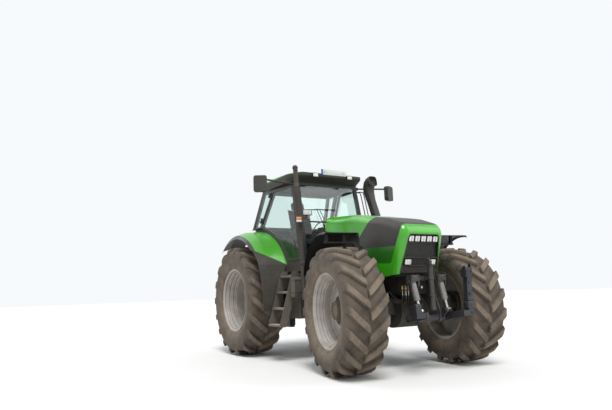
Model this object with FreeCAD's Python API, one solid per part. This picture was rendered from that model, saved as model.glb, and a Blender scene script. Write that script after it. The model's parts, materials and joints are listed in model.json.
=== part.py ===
import FreeCAD, Part
import os
from math import atan2, cos, degrees, hypot, pi, radians, sin, sqrt, tan

V = FreeCAD.Vector

# A farm tractor in millimetres: X forward, Y to its left, Z up from the ground.
# It is modelled with the rear axle at X = 0 and saved with the middle of its length at the origin.
REAR_AXLE_X = -1372

# Wheels and their places
WHEELBASE = 3130
REAR_TRACK = 1992
REAR_TYRE_RADIUS = 965
REAR_TYRE_WIDTH = 652
REAR_LUGS = 18
REAR_SEAT_RADIUS = 533
REAR_RIM_WIDTH = 540
REAR_DISC_DEPTH = 350
FRONT_TYRE_RADIUS = 835
FRONT_TYRE_WIDTH = 577
FRONT_LUGS = 18
FRONT_SEAT_RADIUS = 478
FRONT_RIM_WIDTH = 470
FRONT_DISC_DEPTH = 200
KINGPIN_Y = 840
WHEEL_OFFSET = 149
STEER_AT_REST = -9.6
LUG_HEIGHT = 55
LUG_REACH = 125
LUG_TOP = 40
LUG_BASE = 58
RIM_WALL = 14
RIM_STEP = 11
RIM_STEPS = (0.22, 0.42, 0.62)
FLANGE_RISE = 23
BEAD_CLEARANCE = 0.3
RUNNING_CLEARANCE = 0.05
AXLE_RADIUS = 60
REAR_HUB_LENGTH = 90
FRONT_HUB_LENGTH = 60
REAR_HUB_RADIUS = 150
REAR_HUB_OUT = 60
FRONT_HUB_RADIUS = 138
FRONT_HUB_OUT = 85
RIM_SIDES = 32
HUB_SIDES = 16

# Frame, engine and drive line
FRAME_HALF = 160
FRAME_BOTTOM = 1010
FRAME_TOP = 1250
FRAME_FRONT = WHEELBASE + 350
ENGINE_REAR = 1760
ENGINE_FRONT = WHEELBASE - 170
ENGINE_HALF = 270
ENGINE_BOTTOM = 870
ENGINE_TOP = 1640
GEARBOX_HALF = 280
GEARBOX_BOTTOM = 620
GEARBOX_TOP = 1240
REAR_SEAT_Z = 1375
KINGPIN_RADIUS = 35
KNUCKLE_RADIUS = 105
KNUCKLE_HALF = 145
YOKE_GAP = 5
YOKE_ARM = 50
STEERING_ARM = 290
HUB_GAP = 5
SEAT_GAP = 0.3
STAY_X = (-185, -145)
TIE_ROD_RADIUS = 22
BALL_STUD_RADIUS = 14
NOSE_RADIUS = 60
NOSE_LENGTH = 260
CASING_RADIUS = 230
CASING_HALF = 200
CASING_DROP = 45

# Bonnet
HOOD_HALF = 420
HOOD_FRONT_HALF = 362
HOOD_SKIN = 8
HOOD_HINGE_X = 1900
HOOD_HINGE_Z = 2185
HOOD_PIN_RADIUS = 10
HOOD_EDGE_ROUND = 115
FACE_X = WHEELBASE + 582
FACE_Z = 1925
FACE_LEAN = 0.30
HOOD_BOTTOM = 1283
MOUTH_TOP = 1800
MOUTH_HALF_TOP = 262
MOUTH_HALF_BOTTOM = 330
GRILLE_DEPTH = 32
ROW_LAMP_Z = (1702, 1780)
ROW_LAMP_PITCH = 105
HEADLAMP_Z = (1400, 1472)
HEADLAMP_Y = 215

# Cab: its flat sides lean in and narrow towards the front
TUB_HALF = 745
SIDE_Y = TUB_HALF - 55
SIDE_TAPER = 0.108
SIDE_LEAN = 0.050
SILL_Z = 1580
EAVES_Z = 2920
FLOOR_Z = 1420
TUB_WALL = 12
TUB_REAR = -250
TUB_FRONT = 1612
TUB_ABOVE_GUARD = 24
WELL_HALF = TUB_HALF - 109
WELL_RADIUS = 1080
PILLAR = 60
RAIL = 50
GLASS = 6
GLASS_GAP = 0.3
DOOR_DEPTH = 32
DOOR_BORDER = 42
HINGE_RADIUS = 9
HINGE_EYE = 16
HINGE_SETBACK = 10
ROOF_HALF = TUB_HALF + 5
ROOF_REAR = 60
ROOF_FRONT = 1460
ROOF_BOTTOM = EAVES_Z + RAIL / 2
ROOF_BRIM = ROOF_BOTTOM + 135
ROOF_RISE = 100
ROOF_FALL = 0.055

# Mudguards
REAR_GUARD_GAP = 275
REAR_GUARD_DROP = 150
REAR_GUARD_OUTER = 1300
GUARD_SKIN = 8
FRONT_GUARD_HALF = 265
FRONT_GUARD_RADIUS = 746
FRONT_GUARD_CENTRE = (-63, 288)
FRONT_GUARD_START = 79
FRONT_GUARD_SWEEP = 86

# Front lift
FRONT_SHAFT_X = FRAME_FRONT + 160
FRONT_SHAFT_Z = 700
FRONT_SHAFT_RADIUS = 45
CYLINDER_TOP_X = FRONT_SHAFT_X + 15
CYLINDER_TOP_Z = 1170
CYLINDER_Y = 242
LEVER_PIN_X = FRONT_SHAFT_X + 120
LEVER_PIN_Z = 800
LIFT_PIN_RADIUS = 16
LEVER_PIN_RADIUS = 12.5
ROD_EYE_BORE = 21.5
ROD_EYE_RADIUS = 33
BARREL_RADIUS = 42
LIFT_ROD_RADIUS = 22
FRONT_ARM_Y = 450
FRONT_ARM_HALF = 44

# Rear lift
ROCKSHAFT_X = -300
ROCKSHAFT_Z = 1290
ROCKSHAFT_RADIUS = 40
ROCKSHAFT_HALF = 350
LINK_PIVOT_Z = 620
LINK_PIN_RADIUS = 18
HANGER_PIN_RADIUS = 14
DRAWBAR_X = -1060
DRAWBAR_HOLE = 16
LIFT_ARM_LENGTH = 400
LOWER_LINK_LENGTH = 930
LINK_Y = 330
LINK_BALL_RADIUS = 18.7
PTO_RADIUS = 17.46
PTO_LENGTH = 76

SIDES = (1, -1)
AXIS = {"x": V(1, 0, 0), "y": V(0, 1, 0), "z": V(0, 0, 1)}


def place_on(axis, level):
    """Give the function that puts a flat point (a, b) on the plane axis = level."""
    spots = {
        "x": lambda a, b: V(level, a, b),
        "y": lambda a, b: V(a, level, b),
        "z": lambda a, b: V(a, b, level),
    }
    return spots[axis]


def outline(points, spot):
    """Close a wire through points (a, b) or (a, b, corner radius), placed by spot."""
    count = len(points)
    corners = []
    for index, point in enumerate(points):
        here = V(point[0], point[1], 0)
        radius = point[2] if len(point) > 2 else 0
        if not radius:
            corners.append((here, None, here))
            continue
        back = V(*points[index - 1][:2], 0) - here
        ahead = V(*points[(index + 1) % count][:2], 0) - here
        back.normalize()
        ahead.normalize()
        half = back.getAngle(ahead) / 2
        middle = back + ahead
        middle.normalize()
        nearest = here + middle * (radius / sin(half) - radius)
        corners.append((here + back * (radius / tan(half)), nearest, here + ahead * (radius / tan(half))))
    edges = []
    for index, (start, bend, end) in enumerate(corners):
        if bend is not None:
            edges.append(Part.Arc(*[spot(p.x, p.y) for p in (start, bend, end)]).toShape())
        following = corners[(index + 1) % count][0]
        if (following - end).Length > 1e-6:
            edges.append(Part.LineSegment(spot(end.x, end.y), spot(following.x, following.y)).toShape())
    return Part.Wire(edges)


def slab(axis, points, low, high):
    """Extrude an outline drawn across an axis from one level to another."""
    return Part.Face(outline(points, place_on(axis, low))).extrude(AXIS[axis] * (high - low))


def block(x_low, x_high, y_low, y_high, z_low, z_high):
    return Part.makeBox(x_high - x_low, y_high - y_low, z_high - z_low, V(x_low, y_low, z_low))


def bar(start, end, radius):
    return Part.makeCylinder(radius, (end - start).Length, start, end - start)


def beam(start, end, width, depth, across=V(0, 1, 0), corner=0):
    """A rectangular bar, its corners rounded if asked: width along across, depth square to it."""
    along = end - start
    along.normalize()
    side = across - along * across.dot(along)
    side.normalize()
    up = along.cross(side)
    ring = [(s * width / 2, t * depth / 2, corner) for s, t in ((-1, -1), (1, -1), (1, 1), (-1, 1))]
    return Part.Face(outline(ring, lambda a, b: start + side * a + up * b)).extrude(end - start)


def join(*shapes):
    return shapes[0].fuse(list(shapes[1:])).removeSplitter()


def mirrored(shape):
    return shape.mirror(V(0, 0, 0), V(0, 1, 0))


def both(shape):
    return Part.makeCompound([shape, mirrored(shape)])


def on_side(shape, side):
    return shape if side > 0 else mirrored(shape)


def turned(shape, angle, centre, axis=V(0, 0, 1)):
    copy = shape.copy()
    copy.rotate(centre, axis, angle)
    return copy


def moved(shape, x=0, y=0, z=0):
    copy = shape.copy()
    copy.translate(V(x, y, z))
    return copy


def save(name, shape):
    moved(shape, x=REAR_AXLE_X).exportStep("parts/" + name + ".step")


def faceted_ring(profile, sides, at_corners=False):
    """A ring about the Y axis with flat facets; profile is a loop of (y, radius to each flat or corner)."""
    faces = []
    half = pi / sides
    stretch = 1 if at_corners else 1 / cos(half)
    for index, (y_a, r_a) in enumerate(profile):
        y_b, r_b = profile[(index + 1) % len(profile)]
        for step in range(sides):
            low = 2 * half * step - half
            high = low + 2 * half
            ring = [(y_a, r_a, low), (y_b, r_b, low), (y_b, r_b, high), (y_a, r_a, high), (y_a, r_a, low)]
            spots = [V(r * stretch * cos(a), y, r * stretch * sin(a)) for y, r, a in ring]
            faces.append(Part.Face(Part.makePolygon(spots)))
    return Part.Solid(Part.Shell(faces))


def lug(radius, width, carcass):
    """One bar of the tread at the top of the tyre: its inner end leads, its outer end wraps the shoulder."""
    top = sqrt(radius ** 2 - (LUG_REACH + LUG_TOP) ** 2)
    outer_y = 0.45 * width
    # Each corner: along the tread, across it, height
    ends = []
    for x, y_top, y_base, base in (
        (LUG_REACH, 10, 10, carcass - 20),
        (-LUG_REACH, outer_y, width / 2 - 3, carcass - 110),
    ):
        ends.append([
            V(x - LUG_TOP, y_top, top), V(x + LUG_TOP, y_top, top),
            V(x + LUG_BASE, y_base, base), V(x - LUG_BASE, y_base, base),
        ])
    faces = [Part.Face(Part.makePolygon(end + end[:1])) for end in ends]
    inner, outer = ends
    for a, b in ((0, 1), (1, 2), (2, 3), (3, 0)):
        for ring in ((inner[a], inner[b], outer[b]), (inner[a], outer[b], outer[a])):
            faces.append(Part.Face(Part.makePolygon(list(ring) + [ring[0]])))
    return Part.Solid(Part.Shell(faces))


def make_tyre(radius, width, lugs, seat, rim_width):
    carcass = radius - LUG_HEIGHT
    bead = rim_width / 2 - 22
    bulge = seat + 0.58 * (carcass - seat)
    profile = [
        (-bead, seat + BEAD_CLEARANCE), (-width / 2, bulge), (-0.44 * width, carcass),
        (0.44 * width, carcass), (width / 2, bulge), (bead, seat + BEAD_CLEARANCE),
    ]
    pitch = 360 / lugs
    bars = []
    one = lug(radius, width, carcass)
    for index in range(lugs):
        bars.append(turned(one, pitch * (index + 0.25), V(0, 0, 0), V(0, 1, 0)))
        bars.append(turned(mirrored(one), pitch * (index + 0.75), V(0, 0, 0), V(0, 1, 0)))
    tyre = faceted_ring(profile, lugs).fuse(bars)
    return tyre.removeSplitter()


def make_rim(seat, rim_width, disc_depth, hub_radius, hub_out, hub_length):
    """Rim, dished disc and hub; Y points outwards and the middle of the tyre is at Y = 0."""
    half = rim_width / 2
    flange = seat + FLANGE_RISE
    inner = seat - RIM_WALL
    disc = half - disc_depth
    boss = 0.45 * seat
    bore = (AXLE_RADIUS + RUNNING_CLEARANCE) / cos(pi / HUB_SIDES)
    steps = []
    for index, share in enumerate(RIM_STEPS):
        y = half - share * disc_depth
        steps += [(y, inner - index * RIM_STEP), (y - 6, inner - (index + 1) * RIM_STEP)]
    deep = inner - len(RIM_STEPS) * RIM_STEP
    barrel = faceted_ring([
        (half, flange), (half - 20, seat), (-half + 20, seat), (-half, flange), (-half, inner),
        (disc - 60, inner), (disc - RIM_WALL, boss), (disc, boss), (disc - 60 + 2 * RIM_WALL, deep),
    ] + steps[::-1] + [(half, inner)], RIM_SIDES, True)
    hub = faceted_ring([
        (disc, boss + 8), (disc, hub_radius), (disc + hub_out, 0.85 * hub_radius), (disc + hub_out, bore),
        (disc - hub_length, bore), (disc - hub_length, hub_radius), (disc - RIM_WALL, hub_radius),
        (disc - RIM_WALL, boss + 8),
    ], HUB_SIDES, True)
    cap = Part.makeCylinder(AXLE_RADIUS + 10, hub_out, V(0, disc, 0), V(0, 1, 0))
    return barrel.fuse([hub, cap]).removeSplitter()


rear_tyre = make_tyre(REAR_TYRE_RADIUS, REAR_TYRE_WIDTH, REAR_LUGS, REAR_SEAT_RADIUS, REAR_RIM_WIDTH)
front_tyre = make_tyre(FRONT_TYRE_RADIUS, FRONT_TYRE_WIDTH, FRONT_LUGS, FRONT_SEAT_RADIUS, FRONT_RIM_WIDTH)
rear_rim = make_rim(
    REAR_SEAT_RADIUS, REAR_RIM_WIDTH, REAR_DISC_DEPTH, REAR_HUB_RADIUS, REAR_HUB_OUT, REAR_HUB_LENGTH)
front_rim = make_rim(
    FRONT_SEAT_RADIUS, FRONT_RIM_WIDTH, FRONT_DISC_DEPTH, FRONT_HUB_RADIUS, FRONT_HUB_OUT, FRONT_HUB_LENGTH)

# The lugs stand on the ground, and each axle's height follows from its tyre
REAR_AXLE_Z = -rear_tyre.BoundBox.ZMin
FRONT_AXLE_Z = -front_tyre.BoundBox.ZMin


def steered(shape, side):
    """Turn what rides on a front knuckle to the angle at which the tractor stands."""
    return turned(shape, STEER_AT_REST, V(WHEELBASE, side * KINGPIN_Y, 0))


def make_wheels():
    for side, name in ((1, "left"), (-1, "right")):
        for kind, shape in (("tyre", rear_tyre), ("rim", rear_rim)):
            placed = moved(on_side(shape, side), y=side * REAR_TRACK / 2, z=REAR_AXLE_Z)
            save("rear_" + kind + "_" + name, placed)
        for kind, shape in (("tyre", front_tyre), ("rim", front_rim)):
            y = side * (KINGPIN_Y + WHEEL_OFFSET)
            placed = moved(on_side(shape, side), WHEELBASE, y, FRONT_AXLE_Z)
            save("front_" + kind + "_" + name, steered(placed, side))


def make_knuckles():
    disc_y = WHEEL_OFFSET + FRONT_RIM_WIDTH / 2 - FRONT_DISC_DEPTH
    for side, name in ((1, "left"), (-1, "right")):
        centre = V(0, 0, 0)
        up = V(0, 0, 1)
        body = Part.makeCylinder(KNUCKLE_RADIUS, 2 * KNUCKLE_HALF, V(0, 0, -KNUCKLE_HALF), up)
        pin_half = KNUCKLE_HALF + YOKE_GAP + YOKE_ARM
        pin = Part.makeCylinder(KINGPIN_RADIUS, 2 * pin_half, V(0, 0, -pin_half), up)
        spindle = Part.makeCylinder(AXLE_RADIUS, disc_y, centre, V(0, 1, 0))
        sleeve = Part.makeCylinder(KNUCKLE_RADIUS, disc_y - FRONT_HUB_LENGTH - HUB_GAP, centre, V(0, 1, 0))
        arm = beam(V(0, 0, -95), V(-STEERING_ARM, 0, -95), 60, 40)
        boss = Part.makeCylinder(34, 40, V(-STEERING_ARM, 0, -115), up)
        stud = Part.makeCylinder(BALL_STUD_RADIUS, 95, V(-STEERING_ARM, 0, -170), up)
        # The guard's stay rises behind the yoke and inside the tyre, then reaches out over it
        rear, ahead = STAY_X
        guard_x, guard_z = FRONT_GUARD_CENTRE
        under = guard_z + sqrt((FRONT_GUARD_RADIUS - GUARD_SKIN) ** 2 - (rear - guard_x) ** 2) - SEAT_GAP
        arm_z = FRONT_TYRE_RADIUS + 60
        stay = slab("x", [
            (-30, 60), (20, 60), (-150, 500), (-150, arm_z - 60, 40), (-110, arm_z),
            (WHEEL_OFFSET + 160, arm_z), (WHEEL_OFFSET + 160, arm_z + 22), (-130, arm_z + 22),
            (-205, arm_z - 50, 60), (-205, 480, 40),
        ], rear, ahead)
        props = []
        for y in (WHEEL_OFFSET - 130, WHEEL_OFFSET + 130):
            props.append(block(rear, ahead, y - 20, y + 20, arm_z + 10, under))
        foot = block(rear, 0, -60, 20, 60, 110)
        shape = join(body, pin, spindle, sleeve, arm, boss, stud, foot, stay, *props)
        placed = moved(on_side(shape, side), WHEELBASE, side * KINGPIN_Y, FRONT_AXLE_Z)
        save("knuckle_" + name, steered(placed, side))


def guard_arc(profile, centre, start, sweep):
    """Sweep a section (y, radius) about an axle, from start degrees above forward."""
    angle = radians(start)
    ring = [V(r * cos(angle), y, r * sin(angle)) for y, r in profile]
    band = Part.Face(Part.makePolygon(ring + ring[:1])).revolve(V(0, 0, 0), V(0, -1, 0), sweep)
    return moved(band, *centre)


def make_front_guards():
    radius = FRONT_GUARD_RADIUS
    half = FRONT_GUARD_HALF
    lip = 30
    section = [
        (-half, radius - lip), (-half + lip, radius), (half - lip, radius), (half, radius - lip),
        (half - GUARD_SKIN, radius - lip), (half - lip - 3, radius - GUARD_SKIN),
        (-half + lip + 3, radius - GUARD_SKIN), (-half + GUARD_SKIN, radius - lip),
    ]
    x, z = FRONT_GUARD_CENTRE
    guard = guard_arc(section, (x, WHEEL_OFFSET, z), FRONT_GUARD_START, FRONT_GUARD_SWEEP)
    for side, name in ((1, "left"), (-1, "right")):
        placed = moved(on_side(guard, side), WHEELBASE, side * KINGPIN_Y, FRONT_AXLE_Z)
        save("front_guard_" + name, steered(placed, side))


def make_tie_rod():
    """The track rod joins the two steering arms; its eyes hang on their studs."""
    eye_z = FRONT_AXLE_Z - 145
    ends = []
    for side in SIDES:
        spot = V(WHEELBASE - STEERING_ARM, side * KINGPIN_Y, 0)
        spot = turned(Part.Vertex(spot), STEER_AT_REST, V(WHEELBASE, side * KINGPIN_Y, 0)).Point
        ends.append(V(spot.x, spot.y, eye_z))
    rod = bar(ends[0], ends[1], TIE_ROD_RADIUS)
    eyes = [Part.makeCylinder(32, 50, end - V(0, 0, 25), V(0, 0, 1)) for end in ends]
    holes = [Part.makeCylinder(BALL_STUD_RADIUS + 0.05, 60, end - V(0, 0, 30), V(0, 0, 1)) for end in ends]
    save("tie_rod", rod.fuse(eyes).cut(holes).removeSplitter())


def make_front_axle():
    top = KNUCKLE_HALF + YOKE_GAP
    plate_y = KINGPIN_Y - KNUCKLE_RADIUS - 45
    beam_half = slab("x", [
        (0, -110, 0), (plate_y - 60, -70, 60), (plate_y, -top - YOKE_ARM), (plate_y + 30, -top - YOKE_ARM),
        (plate_y + 30, top + YOKE_ARM), (plate_y, top + YOKE_ARM), (plate_y - 60, 80, 60), (0, 115),
    ], -85, 85)
    arms = []
    for low in (top, -top - YOKE_ARM):
        arms.append(block(-85, 85, plate_y, KINGPIN_Y, low, low + YOKE_ARM))
        arms.append(Part.makeCylinder(85, YOKE_ARM, V(0, KINGPIN_Y, low), V(0, 0, 1)))
    bore = Part.makeCylinder(KINGPIN_RADIUS + RUNNING_CLEARANCE, 500, V(0, KINGPIN_Y, -250), V(0, 0, 1))
    half = beam_half.fuse(arms).cut(bore)
    casing = Part.makeCylinder(
        CASING_RADIUS, 2 * CASING_HALF, V(0, -CASING_HALF, -CASING_DROP), V(0, 1, 0))
    casing = casing.common(block(-300, 300, -300, 300, -400, 110))
    nose = Part.makeCone(140, NOSE_RADIUS, NOSE_LENGTH, V(0, 0, 0), V(-1, 0, 0))
    trunnion = block(-130, 130, -90, 90, 100, FRAME_BOTTOM - FRONT_AXLE_Z)
    axle = half.fuse([mirrored(half), casing, nose, trunnion]).removeSplitter()
    save("front_axle_beam", moved(axle, WHEELBASE, 0, FRONT_AXLE_Z))


def make_chassis():
    frame = slab("y", [
        (ENGINE_FRONT, FRAME_BOTTOM), (FRAME_FRONT, FRAME_BOTTOM), (FRAME_FRONT, FRAME_TOP),
        (ENGINE_FRONT + 120, FRAME_TOP), (ENGINE_FRONT, FRAME_TOP + 120),
    ], -FRAME_HALF, FRAME_HALF)
    save("front_frame", frame)
    engine = slab("y", [
        (ENGINE_REAR, ENGINE_BOTTOM + 120), (ENGINE_REAR + 200, ENGINE_BOTTOM),
        (ENGINE_FRONT - 250, ENGINE_BOTTOM), (ENGINE_FRONT, ENGINE_BOTTOM + 80),
        (ENGINE_FRONT, ENGINE_TOP), (ENGINE_REAR, ENGINE_TOP),
    ], -ENGINE_HALF, ENGINE_HALF)
    save("engine_block", engine)
    gearbox = slab("y", [
        (-330, 700), (-100, GEARBOX_BOTTOM), (400, GEARBOX_BOTTOM), (620, 700), (ENGINE_REAR, 820),
        (ENGINE_REAR, 1300), (1100, 1300), (900, GEARBOX_TOP), (100, GEARBOX_TOP),
        (-30, REAR_SEAT_Z), (-360, REAR_SEAT_Z), (-360, 1230), (-330, 1200),
    ], -GEARBOX_HALF, GEARBOX_HALF)
    disc_y = REAR_TRACK / 2 + REAR_RIM_WIDTH / 2 - REAR_DISC_DEPTH
    centre = V(0, 0, REAR_AXLE_Z)
    pieces = []
    for side in SIDES:
        out = V(0, side, 0)
        pieces.append(Part.makeCone(190, 130, 420, centre + out * GEARBOX_HALF, out))
        reach = disc_y - REAR_HUB_LENGTH - HUB_GAP - 420
        pieces.append(Part.makeCylinder(130, reach, centre + out * 420, out))
        pieces.append(Part.makeCylinder(AXLE_RADIUS, disc_y - 10, centre, out))
    shaft = bar(V(620, 0, 790), V(WHEELBASE - NOSE_LENGTH, 0, FRONT_AXLE_Z), 32)
    shaft = shaft.cut(block(WHEELBASE - NOSE_LENGTH, WHEELBASE, -90, 90, 700, 950))
    pieces.append(shaft)
    for side in SIDES:
        pivot = V(ROCKSHAFT_X, side * 260, LINK_PIVOT_Z)
        pieces.append(bar(pivot, V(ROCKSHAFT_X, side * (LINK_Y + 40), LINK_PIVOT_Z), LINK_PIN_RADIUS))
        low, high = sorted((side * 200, side * (LINK_Y - 25)))
        pieces.append(block(ROCKSHAFT_X - 45, ROCKSHAFT_X + 120, low, high, LINK_PIVOT_Z - 40, 800))
    bore = Part.makeCylinder(
        ROCKSHAFT_RADIUS + RUNNING_CLEARANCE, 700, V(ROCKSHAFT_X, -ROCKSHAFT_HALF, ROCKSHAFT_Z), V(0, 1, 0))
    save("transmission", gearbox.fuse(pieces).cut(bore).removeSplitter())
    cooler = block(WHEELBASE - 40, FRAME_FRONT - 60, -330, 330, FRAME_TOP, 1840)
    save("radiator", cooler)


def side_spot(x, z, depth=0):
    """A point on the cab's left side, moved outwards by depth."""
    normal = V(SIDE_TAPER, 1, SIDE_LEAN)
    normal.normalize()
    y = SIDE_Y + SIDE_TAPER * (1500 - x) - SIDE_LEAN * (z - SILL_Z)
    return V(x, y, z) + normal * depth


def side_panel(points, low, high):
    """A flat piece in the cab's left side between two depths."""
    face = Part.Face(outline(points, lambda a, b: side_spot(a, b, low)))
    return face.extrude(side_spot(0, 0, high) - side_spot(0, 0, low))


def inset(points, distance):
    """Move each side of a loop of points inwards by distance; corner radii shrink with it."""
    count = len(points)
    area = sum(points[i - 1][0] * points[i][1] - points[i][0] * points[i - 1][1] for i in range(count))
    turn = 1 if area > 0 else -1
    lines = []
    for index in range(count):
        a, b = points[index], points[(index + 1) % count]
        length = hypot(b[0] - a[0], b[1] - a[1])
        n = (-(b[1] - a[1]) / length * turn, (b[0] - a[0]) / length * turn)
        lines.append((n[0], n[1], n[0] * a[0] + n[1] * a[1] + distance))
    result = []
    for index in range(count):
        a, b = lines[index - 1], lines[index]
        det = a[0] * b[1] - b[0] * a[1]
        x = (a[2] * b[1] - b[2] * a[1]) / det
        z = (a[0] * b[2] - b[0] * a[2]) / det
        radius = points[index][2] if len(points[index]) > 2 else 0
        result.append((x, z, max(radius - distance, 0)))
    return result


GUARD_LINE = REAR_TYRE_RADIUS + REAR_GUARD_GAP
GUARD_FRONT = 24
GUARD_REAR = 127
WAIST_Z = 2262
HINGE_SHARES = (0.15, 0.85)


def around_wheel(angle, radius):
    return (radius * cos(radians(angle)), REAR_AXLE_Z + radius * sin(radians(angle)))


DOOR_CLEAR = 40
DOOR = [
    (1490, SILL_Z + 10, 40), (1222, EAVES_Z - 30, 60), (575, EAVES_Z - 15, 60), (178, 2282, 50),
    (*around_wheel(63, GUARD_LINE + DOOR_CLEAR), 400), (*around_wheel(45, GUARD_LINE + DOOR_CLEAR), 400),
    (1120, SILL_Z + 10, 40),
]


def hinge_spot(share):
    """A point on the door's hinge line, just behind its rear edge and outside the cab's side."""
    low, high = DOOR[3], DOOR[2]
    length = hypot(high[0] - low[0], high[1] - low[1])
    back = (-(high[1] - low[1]) / length, (high[0] - low[0]) / length)
    x = low[0] + share * (high[0] - low[0]) + back[0] * HINGE_SETBACK
    z = low[1] + share * (high[1] - low[1]) + back[1] * HINGE_SETBACK
    return side_spot(x, z, HINGE_EYE + 6)


def hinge_axis():
    axis = hinge_spot(1) - hinge_spot(0)
    axis.normalize()
    return axis


def hinge_back():
    """The direction in the cab's side that points rearwards, square to the hinge line."""
    back = hinge_axis().cross(side_spot(0, 0, 1) - side_spot(0, 0, 0))
    back.normalize()
    return back if back.x < 0 else back * -1


def make_doors():
    window = inset(DOOR, DOOR_BORDER)
    frame = side_panel(DOOR, -DOOR_DEPTH + 6, 6).cut(side_panel(window, -DOOR_DEPTH + 6, 6))
    axis = hinge_axis()
    eyes = []
    holes = []
    for share in HINGE_SHARES:
        spot = hinge_spot(share)
        eyes.append(Part.makeCylinder(HINGE_EYE, 44, spot - axis * 22, axis))
        eyes.append(beam(spot - V(0, 10, 0), spot - hinge_back() * 40 - V(0, 14, 0), 44, 10, axis))
        holes.append(Part.makeCylinder(HINGE_RADIUS + RUNNING_CLEARANCE, 60, spot - axis * 30, axis))
    frame = frame.fuse(eyes).cut(holes).removeSplitter()
    glass = side_panel(inset(window, GLASS_GAP), -GLASS, 0)
    for side, name in ((1, "left"), (-1, "right")):
        save("door_" + name, on_side(frame, side))
        save("door_glass_" + name, on_side(glass, side))


def side_normal():
    return side_spot(0, 0, 1) - side_spot(0, 0, 0)


def make_tub():
    """Floor, walls and the wheel wells, which step in over the tyres."""
    above = GUARD_LINE + TUB_ABOVE_GUARD
    wall = [
        (TUB_REAR, FLOOR_Z), (TUB_FRONT, FLOOR_Z), (TUB_FRONT, SILL_Z), (1128, SILL_Z),
        (*around_wheel(45, above), 400), (*around_wheel(63, above), 400),
        (172, WAIST_Z), (TUB_REAR + 110, WAIST_Z), (TUB_REAR, WAIST_Z - 90),
    ]
    centre = V(0, 0, REAR_AXLE_Z)

    def disc(radius, low, high):
        return Part.makeCylinder(radius, high - low, centre + V(0, low, 0), V(0, 1, 0))

    well = disc(WELL_RADIUS, WELL_HALF, TUB_HALF + 50)
    outer = slab("y", wall, TUB_HALF - TUB_WALL, TUB_HALF).cut(well)
    inner = slab("y", wall, WELL_HALF - TUB_WALL, WELL_HALF).common(disc(WELL_RADIUS + TUB_WALL, 0, TUB_HALF))
    arch = slab("y", wall, WELL_HALF, TUB_HALF).common(disc(WELL_RADIUS + TUB_WALL, 0, TUB_HALF)).cut(well)
    ledge = block(TUB_REAR + 110, 172, TUB_HALF - TUB_WALL, TUB_HALF + 85, WAIST_Z - TUB_WALL, WAIST_Z)
    floor = block(TUB_REAR, TUB_FRONT, 0, TUB_HALF, FLOOR_Z - TUB_WALL, FLOOR_Z).cut(well)
    rear = block(TUB_REAR, TUB_REAR + TUB_WALL, 0, TUB_HALF, FLOOR_Z, WAIST_Z - 90).cut(well)
    front = block(TUB_FRONT - TUB_WALL, TUB_FRONT, 0, TUB_HALF, FLOOR_Z, SILL_Z)
    scuttle = block(1525, TUB_FRONT, 0, TUB_HALF, SILL_Z - TUB_WALL, SILL_Z)
    foot = block(1300, 1440, 135, 275, 1300, FLOOR_Z - TUB_WALL)
    rear_foot = block(-180, -40, 135, 275, REAR_SEAT_Z, FLOOR_Z - TUB_WALL)
    half = join(outer, inner, arch, ledge, floor, rear, front, scuttle, foot, rear_foot)
    save("cab_tub", join(half, mirrored(half)))


def hinge_bracket(spot, axis):
    """The cab's half of a door hinge: an eye on an arm that stands on the post."""
    back, out = hinge_back(), side_normal()
    inward = -(HINGE_EYE + 6 + DOOR_DEPTH)
    points = ((0, -7), (27, -7), (27, inward), (45, inward), (45, 7), (0, 7), (0, -7))
    ring = [spot - axis * 8 + back * b + out * d for b, d in points]
    arm = Part.Face(Part.makePolygon(ring)).extrude(axis * 16)
    return arm.fuse(Part.makeCylinder(HINGE_EYE, 16, spot - axis * 8, axis))


def make_frame():
    """Posts and rails of the cab, behind the doors' faces."""
    depth = -(DOOR_DEPTH + PILLAR / 2)
    across = side_normal()
    # Start x and z, end x and z, width along the cab
    rails = (
        (1533, SILL_Z, 1262, EAVES_Z, PILLAR),
        (120, WAIST_Z - 20, 548, EAVES_Z, PILLAR),
        (-145, WAIST_Z - 20, 190, EAVES_Z, PILLAR),
        (1290, EAVES_Z, 160, EAVES_Z, RAIL),
    )
    pieces = []
    for a, b, c, d, width in rails:
        pieces.append(beam(side_spot(a, b, depth), side_spot(c, d, depth), PILLAR, width, across))
    for x in (1262, 190):
        start = side_spot(x, EAVES_Z, depth)
        pieces.append(beam(V(start.x, start.y, EAVES_Z), V(start.x, -1, EAVES_Z), PILLAR, RAIL, V(1, 0, 0)))
    x, z = -125, WAIST_Z + RAIL / 2
    pieces.append(beam(V(x, side_spot(x, z, depth).y, z), V(x, -1, z), RAIL, RAIL, V(1, 0, 0)))
    axis = hinge_axis()
    for share in HINGE_SHARES:
        spot = hinge_spot(share)
        pieces.append(Part.makeCylinder(HINGE_RADIUS, 84, spot - axis * 42, axis))
        pieces += [hinge_bracket(spot + axis * (end * 34), axis) for end in (-1, 1)]
    half = join(*pieces)
    below = block(-600, 400, 0, 1000, WAIST_Z - 200, WAIST_Z)
    sill = block(1300, 1800, 0, 1000, SILL_Z - 200, SILL_Z)
    half = half.cut([below, sill, block(-600, 2000, -100, 0, 1400, 3200)])
    save("cab_frame", join(half, mirrored(half)))


def pane(low, high, thickness=GLASS):
    """A flat pane across the cab between two edges given as (x, z, half width)."""
    ring = [V(x, s * y, z) for x, z, y, s in ((*low, 1), (*low, -1), (*high, -1), (*high, 1))]
    face = Part.Face(Part.makePolygon(ring + ring[:1]))
    normal = (ring[1] - ring[0]).cross(ring[3] - ring[0])
    normal.normalize()
    return face.extrude(normal * thickness)


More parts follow.
